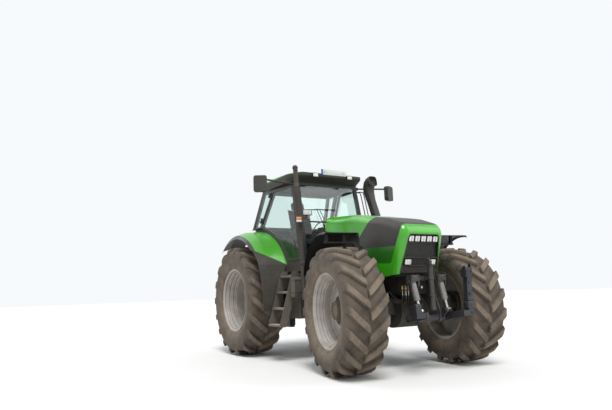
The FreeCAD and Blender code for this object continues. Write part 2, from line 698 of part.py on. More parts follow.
def make_glass():
    inner_face = (DOOR_DEPTH + PILLAR) * sqrt(1 + SIDE_TAPER ** 2 + SIDE_LEAN ** 2)

    def edge(x, z):
        return (x, z, side_spot(x, z).y - inner_face - GLASS_GAP)

    top = EAVES_Z - RAIL / 2 - 1
    windscreen = pane(edge(1529, SILL_Z + 1.5), edge(1268, top))
    rear = pane(edge(-112, WAIST_Z + RAIL + 2), edge(177, top - 3))
    quarter = side_panel([
        (-80, WAIST_Z + 2.3), (90, WAIST_Z + 2.3), (492, top), (212, top)], -DOOR_DEPTH - 8, -DOOR_DEPTH - 2)
    save("cab_glass", Part.makeCompound([windscreen, rear, quarter, mirrored(quarter)]))


def roof_level(x, share):
    """A height between the roof's brim (0) and its skin (1), which falls towards the front."""
    return ROOF_BRIM + share * (ROOF_RISE - ROOF_FALL * (x - ROOF_REAR))


def make_roof():
    plan = [
        (ROOF_FRONT, ROOF_HALF - 140, 110), (1180, ROOF_HALF, 250), (320, ROOF_HALF, 120),
        (ROOF_REAR, ROOF_HALF - 150, 120),
    ]
    plan = plan + [(x, -y, r) for x, y, r in reversed(plan)]
    save("roof_liner", slab("z", plan, ROOF_BOTTOM, ROOF_BRIM))
    # Inset of each section, and its share of the way up to the skin
    sections = []
    for distance, share in ((0, 0), (14, 0.3), (60, 0.75), (160, 1)):
        ring = inset(plan, distance) if distance else plan
        sections.append(outline(ring, lambda x, y, part=share: V(x, y, roof_level(x, part))))
    save("roof", Part.makeLoft(sections, True, True))
    lamps = []
    for side in SIDES:
        y = side * 350
        lamps.append(block(ROOF_FRONT, ROOF_FRONT + 25, y - 55, y + 55, ROOF_BRIM - 72, ROOF_BRIM - 2))
        y = side * 400
        lamps.append(block(ROOF_REAR - 25, ROOF_REAR, y - 55, y + 55, ROOF_BRIM - 100, ROOF_BRIM - 40))
    x, y, z = MARKER_LAMP
    lamps.append(block(x - 35, x + 35, y - 35, y + 35, z - 35, z + 35))
    save("work_lamps", Part.makeCompound(lamps))


def make_interior():
    dash = slab("y", [
        (1330, FLOOR_Z), (1470, FLOOR_Z), (1470, 1600), (1395, 2070, 40), (1200, 2120, 40),
        (1180, 2060), (1300, 1960),
    ], -290, 290)
    column_foot, column_top = V(1230, 0, 2040), V(1100, 0, 2140)
    save("dashboard", join(dash, bar(column_foot, column_top, 32)))
    rim = faceted_ring([(-14, 175), (-14, 200), (14, 200), (14, 175)], HUB_SIDES, True)
    spoke = block(0, 185, -8, 8, -14, 14)
    spokes = [turned(spoke, turn, V(0, 0, 0), V(0, 1, 0)) for turn in (90, 210, 330)]
    wheel = rim.fuse(spokes + [Part.makeCylinder(40, 40, V(0, -20, 0), V(0, 1, 0))]).removeSplitter()
    wheel = turned(wheel, -90, V(0, 0, 0), V(1, 0, 0))
    along = column_top - column_foot
    along.normalize()
    wheel = turned(wheel, degrees(atan2(along.x, along.z)), V(0, 0, 0), V(0, 1, 0))
    spot = column_top + along * (20 + SEAT_GAP)
    save("steering_wheel", moved(wheel, spot.x, spot.y, spot.z))
    base = slab("y", [(280, FLOOR_Z), (640, FLOOR_Z), (600, 1700, 40), (700, 1880), (260, 1880)], -190, 190)
    console = block(300, 900, -520, -330, FLOOR_Z, 2050)
    save("seat_base", Part.makeCompound([base, console]))
    save("seat_cushion", slab("y", [
        (300, 1880.3, 20), (820, 1880.3, 30), (840, 2010, 50), (300, 1985, 30)], -260, 260))
    save("seat_back", slab("y", [(330, 1986.7), (420, 1990.9), (270, 2640, 50), (150, 2620, 50)], -240, 240))


STACK_Y = -TUB_HALF - 105
STACK_TOP = (1670, 3075)
STACK_FOOT = (1838, 1500)
MARKER_LAMP = (1800, STACK_Y - 119, 2230)


def make_stacks():
    """The exhaust on the right, with a ball end, and the hooded air intake on the left."""
    top, foot = V(STACK_TOP[0], STACK_Y, STACK_TOP[1]), V(STACK_FOOT[0], STACK_Y, STACK_FOOT[1])
    along = top - foot
    elbow_z = 1440
    lower = bar(foot, foot + along * 0.80, 58)
    shoulder = Part.makeCone(58, 44, 60, foot + along * 0.80, along)
    upper = bar(foot + along * 0.80, top, 44)
    ball = Part.makeSphere(49, top + V(-4, 0, 4))
    drop = bar(V(foot.x + 12, STACK_Y, 950), foot + along * 0.01, 42)
    branch = bar(V(foot.x + 10, STACK_Y, elbow_z), V(foot.x + 10, -ENGINE_HALF, elbow_z), 45)
    lamp_x, lamp_y, lamp_z = MARKER_LAMP
    marker_arm = block(lamp_x - 35, lamp_x - 15, lamp_y + 35, STACK_Y, lamp_z - 15, lamp_z + 15)
    save("exhaust", join(lower, shoulder, upper, ball, drop, branch, marker_arm))
    spine = V(-0.374, 0, 0.927)
    low = V(2041, 690, 1600)
    duct = beam(low, low + spine * 1290, 128, 140, corner=40)
    cap = slab("y", [
        (1478, 2765, 10), (1500, 2960, 100), (1640, 3060, 90), (1712, 3030, 30), (1716, 2850, 20),
        (1662, 2765, 10),
    ], 605, 775)
    elbow = block(1955, 2120, ENGINE_HALF, 765, 1500, 1640)
    save("intake_stack", join(duct, cap, elbow))


MIRROR_TURN = 26.8


def make_mirrors():
    head_x, head_y, head_z = 1337, TUB_HALF + 581, EAVES_Z - 78
    head = slab("x", [(-110, -135, 38), (110, -135, 38), (110, 135, 38), (-110, 135, 38)], -40, 40)
    head = moved(turned(head, MIRROR_TURN, V(0, 0, 0)), head_x, head_y, head_z)
    x, z = 1262, EAVES_Z - 22
    pad = [(x - 28, z - 28), (x + 28, z - 28), (x + 28, z + 28), (x - 28, z + 28)]
    foot = side_panel(pad, -DOOR_DEPTH, -DOOR_DEPTH + 12)
    arm = bar(side_spot(x, z, -DOOR_DEPTH + 6), V(head_x, head_y - 66, head_z + 83), 15)
    save("mirrors", both(join(head, foot, arm)))


def guard_section(y, ahead, radius):
    """One cross-cut of a rear mudguard: a thin arc about a centre a little ahead of the axle."""
    spots = []
    for share in (0, 0.5, 1):
        angle = radians(GUARD_FRONT + share * (GUARD_REAR - GUARD_FRONT))
        for r in (radius, radius - GUARD_SKIN):
            spots.append(V(ahead + r * cos(angle), y, REAR_AXLE_Z + r * sin(angle)))
    return Part.Wire([
        Part.Arc(spots[0], spots[2], spots[4]).toShape(), Part.LineSegment(spots[4], spots[5]).toShape(),
        Part.Arc(spots[5], spots[3], spots[1]).toShape(), Part.LineSegment(spots[1], spots[0]).toShape(),
    ])


def guard_end(y):
    """Height at which the guard's front end is cut off; it rises outwards."""
    return 1534 + 0.48 * (y - TUB_HALF)


def skirt_curve(points, shift):
    """Two arcs through five points (x, z), moved along X."""
    spots = [V(x + shift, TUB_HALF + 1, z) for x, z in points]
    return Part.Wire([Part.Arc(*spots[:3]).toShape(), Part.Arc(*spots[2:]).toShape()])


def make_rear_guards():
    # Sections: distance from the middle, centre ahead of the axle, radius
    outer = REAR_GUARD_OUTER
    table = (
        (TUB_HALF, 0, GUARD_LINE), (1060, 25, GUARD_LINE - 22), (outer - 60, 85, GUARD_LINE - 85),
        (outer, 150, GUARD_LINE - REAR_GUARD_DROP - 5),
    )
    guard = Part.makeLoft([guard_section(*row) for row in table], True, True)
    inner, end = TUB_HALF - 50, outer + 50
    wedge = slab("x", [(inner, 900), (end, 900), (end, guard_end(end)), (inner, guard_end(inner))], 300, 1500)
    save("rear_guards", both(guard.cut(wedge)))
    # The skirt's curve: its foot, its belly, the guard's inner front corner, on the guard, the outer corner
    curve = ((1104, 780), (1152, 1160), (1098, 1534), (1003, 1685), (836, 1800))
    low = skirt_curve(curve, 0)
    high = skirt_curve(curve, -GUARD_SKIN)
    edges = low.Edges + high.Edges
    for index in (0, -1):
        edges.append(Part.LineSegment(low.Vertexes[index].Point, high.Vertexes[index].Point).toShape())
    sheet = Part.Face(Part.Wire(Part.sortEdges(edges)[0])).extrude(V(0, outer - TUB_HALF - 1, 0))
    top_in, top_out = TUB_HALF + 15, outer - 6
    shape = slab("x", [
        (top_in, guard_end(top_in) - SEAT_GAP), (850, 1350), (1030, 780), (1200, 780),
        (top_out, guard_end(top_out) - SEAT_GAP),
    ], 700, 1300)
    save("guard_skirts", both(sheet.common(shape)))


def make_steps():
    """Stairs to both doors: two slanting cheeks with four treads, on the face of each tank."""
    tank_out = 800
    tank = slab("y", [
        (1170, 660, 60), (1630, 660, 60), (1630, 1370, 40), (1170, 1370, 40)], GEARBOX_HALF, tank_out)
    save("fuel_tanks", both(tank))
    cheek = [
        (tank_out, FLOOR_Z, 0), (915, FLOOR_Z, 95), (1165, 545, 20), (1040, 545, 20), (860, 1110, 60),
        (tank_out, 1150, 0),
    ]
    pieces = [slab("x", cheek, x, x + 8) for x in (1200, 1588)]
    # Treads: height, inner edge, outer edge
    for z, near, far in ((555, 1025, 1162), (808, 940, 1085), (1060, 880, 1010), (1310, 810, 935)):
        pieces.append(block(1200, 1596, near, far, z, z + 25))
    save("steps", both(join(*pieces)))
    rear, ahead, inner = 1648, 1790, 640
    box = slab("y", [
        (rear, 1000, 55), (ahead, 1000, 55), (ahead, 1315, 55), (rear, 1315, 55)], inner, tank_out + 180)
    carrier = block(rear + 30, ahead - 30, GEARBOX_HALF, inner, 1080, 1130)
    save("side_boxes", both(join(box, carrier)))


FACE_BOTTOM_X = FACE_X - FACE_LEAN * (FACE_Z - HOOD_BOTTOM)
HOOD_REAR_X = 1850
HOOD_TOP = [
    (HOOD_REAR_X, 2258), (WHEELBASE - 530, 2200, 1500), (WHEELBASE + 170, 2062, 900), (FACE_X, FACE_Z, 170),
    (FACE_BOTTOM_X, HOOD_BOTTOM),
]
HOOD_EDGE = [
    (WHEELBASE + 135, 1252, 30), (WHEELBASE - 130, 1460, 60), (WHEELBASE - 235, 1660, 40),
    (WHEELBASE - 360, 1729, 20), (WHEELBASE - 373, 1876, 20), (HOOD_REAR_X, 2026),
]
# The face's frame takes the front and a foot along the lower edge
MASK = [
    (WHEELBASE + 495, 2300), (WHEELBASE + 482, 1850, 250), (WHEELBASE + 282, 1425, 50),
    (WHEELBASE - 60, 1450), (WHEELBASE - 60, 1100), (WHEELBASE + 800, 1100), (WHEELBASE + 800, 2300),
]
BAND = [
    (WHEELBASE + 147, 2270), (WHEELBASE - 440, 1778), (WHEELBASE - 440, 1674), (WHEELBASE + 600, 1650),
    (WHEELBASE + 600, 2270),
]


def face_spot(z, behind=0):
    """A point (x, z) of the bonnet's sloping face, or that far behind it."""
    return (FACE_X - (FACE_Z - z) * FACE_LEAN - behind, z)


def face_slab(low, high, near, far, y_low, y_high):
    """A plate that follows the face between two heights and two distances behind it."""
    ring = [face_spot(low, near), face_spot(high, near), face_spot(high, far), face_spot(low, far)]
    return slab("y", ring, y_low, y_high)


def hood_form(profile, skin):
    """The bonnet's solid form, moved in by a skin; it narrows to the front and its edges are rounded."""
    half, front = HOOD_HALF - skin, HOOD_FRONT_HALF - skin
    taper_x = WHEELBASE - 80
    plan = [(1700, -half), (taper_x, -half, 3000), (FACE_X + 60, -front)]
    plan += [(x, -y, *rest) for x, y, *rest in reversed(plan)]
    form = slab("y", profile, -HOOD_HALF, HOOD_HALF).common(slab("z", plan, 1000, 2400))
    edges = []
    for edge in form.Edges:
        ends = [vertex.Point for vertex in edge.Vertexes]
        middle = edge.valueAt((edge.FirstParameter + edge.LastParameter) / 2)
        on_one_side = ends[0].y * ends[-1].y > 0 and min(abs(p.y) for p in ends) > front - 20
        upper = middle.z > 2002 + (WHEELBASE + 170 - middle.x) * 0.13
        upright = abs(ends[0].z - ends[-1].z) < 1 and abs(ends[0].x - ends[-1].x) < 1
        if on_one_side and not upright and (upper or middle.x > FACE_BOTTOM_X - 20):
            edges.append(edge)
    return form.makeFillet(HOOD_EDGE_ROUND - skin, edges)


def make_hood():
    inner_top = inset(HOOD_TOP + HOOD_EDGE, HOOD_SKIN)[:len(HOOD_TOP)]
    front_x, front_z, _ = inner_top[-1]
    inner_top[0] = (inner_top[0][0] - 50, inner_top[0][1] + 3, 0)
    inner_top[-1] = (front_x - 83 * FACE_LEAN, front_z - 83, 0)
    inside = hood_form(inner_top + [(inner_top[0][0], 1200)], HOOD_SKIN)
    shell = hood_form(HOOD_TOP + HOOD_EDGE, 0).cut(inside)
    low = HOOD_BOTTOM - 60
    mouth = slab("x", [
        (-MOUTH_HALF_BOTTOM, low), (MOUTH_HALF_BOTTOM, low),
        (MOUTH_HALF_TOP, MOUTH_TOP, 40), (-MOUTH_HALF_TOP, MOUTH_TOP, 40),
    ], FACE_BOTTOM_X - 120, FACE_X + 100)
    shell = shell.cut(mouth)
    half = HOOD_HALF + 10
    mask_part = slab("y", MASK, -half, half)
    band_part = slab("y", BAND, -half, half)
    save("hood_mask", shell.common(mask_part))
    save("hood_band", shell.common(band_part).cut(mask_part))
    rest = shell.cut([mask_part, band_part])
    rear = max(rest.Solids, key=lambda solid: solid.BoundBox.ZMax)
    save("hood_side_panels", Part.makeCompound([solid for solid in rest.Solids if not solid.isSame(rear)]))
    ears = []
    holes = []
    for side in SIDES:
        ears.append(slab("y", [
            (HOOD_HINGE_X - 22, HOOD_HINGE_Z - 20, 10), (HOOD_HINGE_X + 22, HOOD_HINGE_Z - 20, 10),
            (HOOD_HINGE_X + 60, 2244), (HOOD_HINGE_X - 20, 2250),
        ], *sorted((side * 226, side * 246))))
        spot = V(HOOD_HINGE_X, side * 236 - 20, HOOD_HINGE_Z)
        holes.append(Part.makeCylinder(HOOD_PIN_RADIUS + RUNNING_CLEARANCE, 40, spot, V(0, 1, 0)))
    save("hood", rear.fuse(ears).cut(holes).removeSplitter())

    near = HOOD_SKIN + GRILLE_DEPTH
    back = face_slab(HOOD_BOTTOM - 8, MOUTH_TOP + 40, near, near + 12, -HOOD_HALF, HOOD_HALF)
    save("grille", inside.common(back))
    lamps = []
    for index in range(-2, 3):
        y = ROW_LAMP_PITCH * index
        lamps.append(face_slab(*ROW_LAMP_Z, -1, near, y - 0.4 * ROW_LAMP_PITCH, y + 0.4 * ROW_LAMP_PITCH))
    for side in SIDES:
        y = side * HEADLAMP_Y
        lamps.append(face_slab(*HEADLAMP_Z, -1, near, y - 55, y + 55))
    save("headlamps", Part.makeCompound(lamps))


def make_cowl():
    body = slab("y", [
        (TUB_FRONT, 1480), (1750, 1480), (1750, 1650), (1800, 1650), (1800, 2080, 40), (1700, 2120, 40),
        (1465, 2130), (1575, 1600), (TUB_FRONT, 1585),
    ], -340, 340)
    pieces = []
    for side in SIDES:
        low, high = sorted((side * 195, side * 220))
        pieces.append(slab("y", [
            (1795, 1990), (1870, 2040), (1922, 2170, 15), (1922, 2205, 15), (1880, 2205, 15), (1795, 2070),
        ], low, high))
        pin_foot = V(HOOD_HINGE_X, min(side * 200, side * 250), HOOD_HINGE_Z)
        pieces.append(Part.makeCylinder(HOOD_PIN_RADIUS, 50, pin_foot, V(0, 1, 0)))
    save("cowl", join(body, *pieces))


def make_front_hitch():
    """Two cheeks that carry the lift, joined by a tie, and the top link stowed upright."""
    half, s = FRAME_HALF, FRONT_SHAFT_X
    ear_y, ear_top = 305, 1262
    plate = slab("y", [
        (s - 340, FRAME_BOTTOM + 10), (s - 340, 1235), (s - 80, 1265, 30), (s + 60, 1265, 30),
        (s + 60, 1120, 30), (s - 30, 1010, 60), (s + 60, 780, 40), (s + 60, 640, 50), (s - 60, 640, 50),
        (s - 200, 900, 60),
    ], half, half + 25)
    radius = FRONT_SHAFT_RADIUS + RUNNING_CLEARANCE
    bore = Part.makeCylinder(radius, 60, V(s, half - 20, FRONT_SHAFT_Z), V(0, 1, 0))
    ear = block(s - 30, s + 60, ear_y - 15, ear_y, 1130, ear_top)
    cover = block(s - 30, s + 60, half, ear_y, ear_top - 40, ear_top)
    pin_foot = V(CYLINDER_TOP_X, half, CYLINDER_TOP_Z)
    pin = Part.makeCylinder(LIFT_PIN_RADIUS, ear_y - half, pin_foot, V(0, 1, 0))
    side = join(plate.cut(bore), ear, cover, pin)
    tie = block(FRAME_FRONT, s, -half, half, 1190, 1240)
    link_ear = block(s, s + 115, -30, 30, 1190, 1240)
    link = bar(V(s + 110, 0, 800), V(s + 98, 0, 1400), 36)
    save("front_hitch", join(side, mirrored(side), tie, link_ear, link))


def lift_line():
    top = V(CYLINDER_TOP_X, 0, CYLINDER_TOP_Z)
    pin = V(LEVER_PIN_X, 0, LEVER_PIN_Z)
    along = pin - top
    length = along.Length
    along.normalize()
    return top, pin, along, length


def make_front_lift():
    """Shaft with levers and folded arms; the left arm stands upright, and the right one is stowed low."""
    s = FRONT_SHAFT_X
    shaft_half = 335
    across = V(0, 1, 0)
    shaft = Part.makeCylinder(FRONT_SHAFT_RADIUS, 2 * shaft_half, V(s, -shaft_half, FRONT_SHAFT_Z), across)
    lever = [
        (s - 40, 660, 30), (s + 30, 650, 30), (s + 155, 775, 30), (s + 145, 832, 30), (s + 90, 825, 30),
        (s - 40, 745, 30),
    ]
    arm = [(s - 50, 650, 40), (s + 350, 715, 30), (s + 350, 790, 30), (s - 40, 755, 40)]
    foot_rear, foot_ahead, foot_low, foot_top = s + 262, s + 346, 722, 790
    pieces = []
    for side in SIDES:
        for inner, outer in ((194, 206), (278, 290)):
            pieces.append(slab("y", lever, *sorted((side * inner, side * outer))))
        low, high = sorted((side * 194, side * 290))
        pin_foot = V(LEVER_PIN_X, low, LEVER_PIN_Z)
        pieces.append(Part.makeCylinder(LEVER_PIN_RADIUS, high - low, pin_foot, across))
        pieces.append(slab("y", arm, *sorted((side * 300, side * 332))))
        low, high = sorted((side * 300, side * (FRONT_ARM_Y + FRONT_ARM_HALF)))
        pieces.append(block(foot_rear, foot_ahead, low, high, foot_low, foot_top))
    low, high = FRONT_ARM_Y - FRONT_ARM_HALF, FRONT_ARM_Y + FRONT_ARM_HALF
    pieces.append(slab("y", [
        (foot_rear, foot_low), (foot_ahead, foot_low), (s + 330, 900), (s + 338, 1150), (s + 352, 1230, 20),
        (s + 352, 1338, 25), (s + 280, 1338, 30), (s + 276, 1290, 15), (s + 270, 1150), (s + 264, 900),
    ], low, high))
    pieces.append(slab("y", [
        (foot_rear, foot_low), (foot_ahead, foot_low), (s + 338, 900, 25), (s + 264, 900, 25),
    ], -high, -low))
    save("front_lift_arms", shaft.fuse(pieces).removeSplitter())
    top, pin, along, length = lift_line()
    barrels = []
    rods = []
    pin_hole = LIFT_PIN_RADIUS + RUNNING_CLEARANCE
    rod_hole = LIFT_ROD_RADIUS + RUNNING_CLEARANCE
    for side in SIDES:
        shift = V(0, side * CYLINDER_Y, 0)
        eye = Part.makeCylinder(32, 60, top + shift - across * 30, across)
        tube = bar(top + shift + along * 25, top + shift + along * 250, BARREL_RADIUS)
        eye_hole = Part.makeCylinder(pin_hole, 100, top + shift - across * 50, across)
        well = bar(top + shift + along * 80, top + shift + along * 260, rod_hole)
        barrels.append(eye.fuse(tube).cut([eye_hole, well]))
        rod = bar(top + shift + along * 95, pin + shift - along * 15, LIFT_ROD_RADIUS)
        end = Part.makeCylinder(ROD_EYE_RADIUS, 60, pin + shift - across * 30, across)
        rods.append(rod.fuse(end).cut(Part.makeCylinder(ROD_EYE_BORE, 80, pin + shift - across * 40, across)))
    save("front_lift_barrels", Part.makeCompound(barrels))
    save("front_lift_rods", Part.makeCompound(rods))


def make_rear_hitch():
    tongue = slab("z", [(DRAWBAR_X, -45, 20), (-150, -45), (-150, 45), (DRAWBAR_X, 45, 20)], 400, 435)
    hanger = block(-420, -340, -60, 60, 435, 760)
    near, far = [GEARBOX_BOTTOM - (x + 100) * 80 / 230 for x in (-150, -230)]
    front = slab("y", [(-230, 435), (-150, 435), (-150, near), (-230, far)], -60, 60)
    tongue = tongue.cut(Part.makeCylinder(DRAWBAR_HOLE, 100, V(DRAWBAR_X + 40, 0, 360), V(0, 0, 1)))
    hole = Part.makeCylinder(DRAWBAR_HOLE, 200, V(-405, -100, 1140), V(0, 1, 0))
    ears = []
    for side in SIDES:
        low, high = sorted((side * 26, side * 46))
        ears.append(slab("y", [
            (-330, 1080), (-400, 1080, 30), (-445, 1120, 25), (-445, 1170, 25), (-330, 1195),
        ], low, high).cut(hole))
    tie = block(-420, -330, -60, 60, 700, 740)
    save("rear_hitch", Part.makeCompound([join(tongue, hanger, front, tie)] + ears))
    rear = bar(V(-330, 0, 860), V(-330 - PTO_LENGTH, 0, 860), PTO_RADIUS)
    front = bar(V(FRAME_FRONT, 0, 1100), V(FRAME_FRONT + PTO_LENGTH, 0, 1100), PTO_RADIUS)
    save("pto_shafts", Part.makeCompound([rear, front]))


def make_rear_lift():
    across = V(0, 1, 0)
    x, z = ROCKSHAFT_X, ROCKSHAFT_Z
    tip_x = x - LIFT_ARM_LENGTH
    shaft = Part.makeCylinder(ROCKSHAFT_RADIUS, 2 * ROCKSHAFT_HALF, V(x, -ROCKSHAFT_HALF, z), across)
    pieces = []
    for side in SIDES:
        low, high = sorted((side * 300, side * ROCKSHAFT_HALF))
        pieces.append(slab("y", [
            (x + 60, z - 45, 30), (x + 60, z + 50, 30), (tip_x - 28, z + 30, 25), (tip_x - 28, z - 28, 25),
        ], low, high))
        low, high = sorted((side * 345, side * 405))
        pieces.append(Part.makeCylinder(HANGER_PIN_RADIUS, high - low, V(tip_x, low, z), across))
    save("rear_lift_arms", shaft.fuse(pieces).removeSplitter())
    links = []
    rods = []
    end_x = x - LOWER_LINK_LENGTH
    for side in SIDES:
        low, high = sorted((side * (LINK_Y - 20), side * (LINK_Y + 20)))
        link = slab("y", [
            (x + 35, LINK_PIVOT_Z - 35, 25), (x + 35, LINK_PIVOT_Z + 35, 25),
            (end_x - 45, LINK_PIVOT_Z + 40, 35), (end_x - 45, LINK_PIVOT_Z - 40, 35),
        ], low, high)
        hole = LINK_PIN_RADIUS + RUNNING_CLEARANCE
        link = link.cut(Part.makeCylinder(hole, 100, V(x, low - 20, LINK_PIVOT_Z), across))
        link = link.cut(Part.makeCylinder(LINK_BALL_RADIUS, 100, V(end_x, low - 20, LINK_PIVOT_Z), across))
        low, high = sorted((side * (LINK_Y + 18), side * 405))
        pin = Part.makeCylinder(HANGER_PIN_RADIUS, high - low, V(tip_x, low, LINK_PIVOT_Z), across)
        links.append(link.fuse(pin))
        low, high = sorted((side * 360, side * 400))
        rod = bar(V(tip_x, side * 380, z - 20), V(tip_x, side * 380, LINK_PIVOT_Z + 20), 19)
        # The lower eye is loose, so the three pivots need no exact lengths
        for level, slack in ((z, RUNNING_CLEARANCE), (LINK_PIVOT_Z, 2)):
            hole = HANGER_PIN_RADIUS + slack
            rod = rod.fuse(Part.makeCylinder(30, high - low, V(tip_x, low, level), across))
            rod = rod.cut(Part.makeCylinder(hole, high - low, V(tip_x, low, level), across))
        rods.append(rod)
    save("lower_links", Part.makeCompound(links))
    save("lift_rods", Part.makeCompound(rods))


def main():
    os.makedirs("parts", exist_ok=True)
    make_wheels()
    make_knuckles()
    make_front_guards()
    make_tie_rod()
    make_front_axle()
    make_chassis()
    make_doors()
    make_tub()
    make_frame()
    make_glass()
    make_roof()
    make_interior()
    make_stacks()
    make_mirrors()
    make_rear_guards()
    make_steps()
    make_hood()
    make_cowl()
    make_front_hitch()
    make_front_lift()
    make_rear_hitch()
    make_rear_lift()


main()
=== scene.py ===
import json
from math import atan2, cos, pi, radians, sin, sqrt

import bmesh
import bpy
from mathutils import Matrix, Vector


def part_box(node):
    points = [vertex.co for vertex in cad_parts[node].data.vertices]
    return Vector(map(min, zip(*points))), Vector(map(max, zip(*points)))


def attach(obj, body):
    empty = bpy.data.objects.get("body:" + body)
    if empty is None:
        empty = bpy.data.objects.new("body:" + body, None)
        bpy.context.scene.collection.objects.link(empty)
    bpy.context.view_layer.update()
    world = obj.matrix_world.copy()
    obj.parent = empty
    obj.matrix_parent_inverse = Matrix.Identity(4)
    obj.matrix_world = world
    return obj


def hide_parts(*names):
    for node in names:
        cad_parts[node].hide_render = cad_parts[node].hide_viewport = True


# A farm tractor dressed for its picture. Metres, in the frame's own axes: X forward, Y to its left, Z up.

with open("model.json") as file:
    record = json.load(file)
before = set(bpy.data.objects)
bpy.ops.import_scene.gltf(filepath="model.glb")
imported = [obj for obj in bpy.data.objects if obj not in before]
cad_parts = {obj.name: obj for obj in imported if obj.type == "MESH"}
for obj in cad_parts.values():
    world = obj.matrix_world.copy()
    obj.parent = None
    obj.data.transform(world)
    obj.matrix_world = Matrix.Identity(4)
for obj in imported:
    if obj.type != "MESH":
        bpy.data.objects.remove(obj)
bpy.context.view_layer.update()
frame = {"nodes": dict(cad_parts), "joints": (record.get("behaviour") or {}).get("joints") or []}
nodes = frame["nodes"]
joints = {joint["name"]: joint for joint in frame["joints"]}

# The camera stands at the front right, as it does in the photograph
CAMERA_SPOT = (7.561, -4.843, 1.139)
CAMERA_YAW = 150.109
CAMERA_PITCH = 9.051
CAMERA_ROLL = -1.808
CAMERA_LENS = 30.59

# Driving sizes of the model, as it is built
REAR_AXLE_X = -1.372
REAR_AXLE_Z = 0.9616
WHEELBASE = 3.130
SIDES = ((1, "left"), (-1, "right"))


def at(x, y, z):
    """A point whose X is measured from the rear axle."""
    return Vector((x + REAR_AXLE_X, y, z))


# The cab's flat sides lean in, and narrow towards the front from their width at SIDE_X
SIDE_X = 1.500
SIDE_Y = 0.690
SIDE_TAPER = 0.108
SIDE_LEAN = 0.050
SIDE_OUT = Vector((SIDE_TAPER, 1, SIDE_LEAN)).normalized()
SILL_Z = 1.580
ROOF_BRIM = 3.080
MIRROR_X = 1.337

# The lift's cross shaft, and the exhaust with its marker lamp
FRONT_SHAFT_X = 3.640
STACK_Y = -0.850
STACK_TOP = at(1.670, STACK_Y, 3.075)
STACK_FOOT = at(1.838, STACK_Y, 1.500)
SHIELD_RADIUS = 0.050
MARKER_LAMP = at(1.800, STACK_Y - 0.119, 2.230)


# Shapes


def spot_on_side(x, z, depth=0.0):
    """A point on the left side of the cab; x is measured from the rear axle."""
    y = SIDE_Y + SIDE_TAPER * (SIDE_X - x) - SIDE_LEAN * (z - SILL_Z)
    return at(x, y, z) + SIDE_OUT * depth


def on_other_side(bm):
    bmesh.ops.transform(bm, matrix=Matrix.Scale(-1, 4, (0, 1, 0)), verts=bm.verts)


def bridge(bm, rings, closed=True):
    """Faces between rings of vertices; a closed ring runs on from its last vertex to its first."""
    count = len(rings[0])
    for here, ahead in zip(rings, rings[1:]):
        for a in range(count if closed else count - 1):
            b = (a + 1) % count
            bm.faces.new((here[a], ahead[a], ahead[b], here[b]))


# The corners of a flat rectangle, as shares of its half sizes
CORNERS = ((-1, -1), (1, -1), (1, 1), (-1, 1))


def skin(bm, loops):
    """A closed form through loops of points, with a lid at either end."""
    rings = [[bm.verts.new(point) for point in loop] for loop in loops]
    bridge(bm, rings)
    bm.faces.new(rings[0][::-1])
    bm.faces.new(rings[-1])


def around(steps):
    return [2 * pi * step / steps for step in range(steps)]


def lathe(bm, profile, segments, axis="y"):
    """Turn a closed profile of (along the axis, radius) about that axis."""
    rings = []
    for angle in around(segments):
        turned = [(radius * cos(angle), radius * sin(angle), along_axis) for along_axis, radius in profile]
        if axis == "y":
            turned = [(a, c, b) for a, b, c in turned]
        rings.append([bm.verts.new(point) for point in turned])
    bridge(bm, rings + rings[:1])


def lathe_capped(bm, profile, segments):
    """Turn a profile about Z whose first and last points are on the axis."""
    first = bm.verts.new((0, 0, profile[0][0]))
    last = bm.verts.new((0, 0, profile[-1][0]))
    rings = [
        [bm.verts.new((r * cos(angle), r * sin(angle), h)) for h, r in profile[1:-1]]
        for angle in around(segments)
    ]
    rings.append(rings[0])
    bridge(bm, rings, closed=False)
    for here, ahead in zip(rings, rings[1:]):
        bm.faces.new((first, ahead[0], here[0]))
        bm.faces.new((last, here[-1], ahead[-1]))


def merge(bm, part, place=None):
    """Add one mesh to another, moved by a matrix."""
    if place is not None:
        bmesh.ops.transform(part, matrix=place, verts=part.verts)
    copies = {vert: bm.verts.new(vert.co) for vert in part.verts}
    for face in part.faces:
        bm.faces.new([copies[vert] for vert in face.verts])
    part.free()


def soft_box(bm, corner, opposite, radius=0.003, steps=2, place=None):
    """A box with rounded edges between two opposite corners."""
    corner, opposite = Vector(corner), Vector(opposite)
    size = Matrix.Diagonal([abs(length) for length in opposite - corner] + [1])
    part = bmesh.new()
    bmesh.ops.create_cube(part, size=1, matrix=Matrix.Translation((corner + opposite) / 2) @ size)
    bmesh.ops.bevel(part, geom=part.edges[:], offset=radius, segments=steps, profile=0.5, affect="EDGES")
    merge(bm, part, place)


def along(start, end):
    """A matrix that stands local Z on the line from start to end."""
    turn = (end - start).to_track_quat("Z", "Y").to_matrix().to_4x4()
    return Matrix.Translation(start) @ turn


def rod(bm, start, end, radius, sides=20, edge=0.002, end_radius=None):
    """A round bar with softened ends."""
    start, end = Vector(start), Vector(end)
    length = (end - start).length
    last = radius if end_radius is None else end_radius
    part = bmesh.new()
    lathe_capped(part, [
        (0, 0), (0, radius - edge), (edge, radius), (length - edge, last), (length, last - edge), (length, 0),
    ], sides)
    merge(bm, part, along(start, end))


def bolt(bm, spot, out, radius=0.012, height=0.010):
    """A hexagon head on a washer."""
    spot, out = Vector(spot), Vector(out).normalized()
    rod(bm, spot, spot + out * 0.003, radius * 1.35, 16, 0.001)
    rod(bm, spot + out * 0.002, spot + out * height, radius, 6, 0.0012)


# A bead's half section: share of the width, share of the height
BEAD = ((-0.5, 0), (-0.5, 0.6), (-0.32, 1), (0.32, 1), (0.5, 0.6), (0.5, 0))


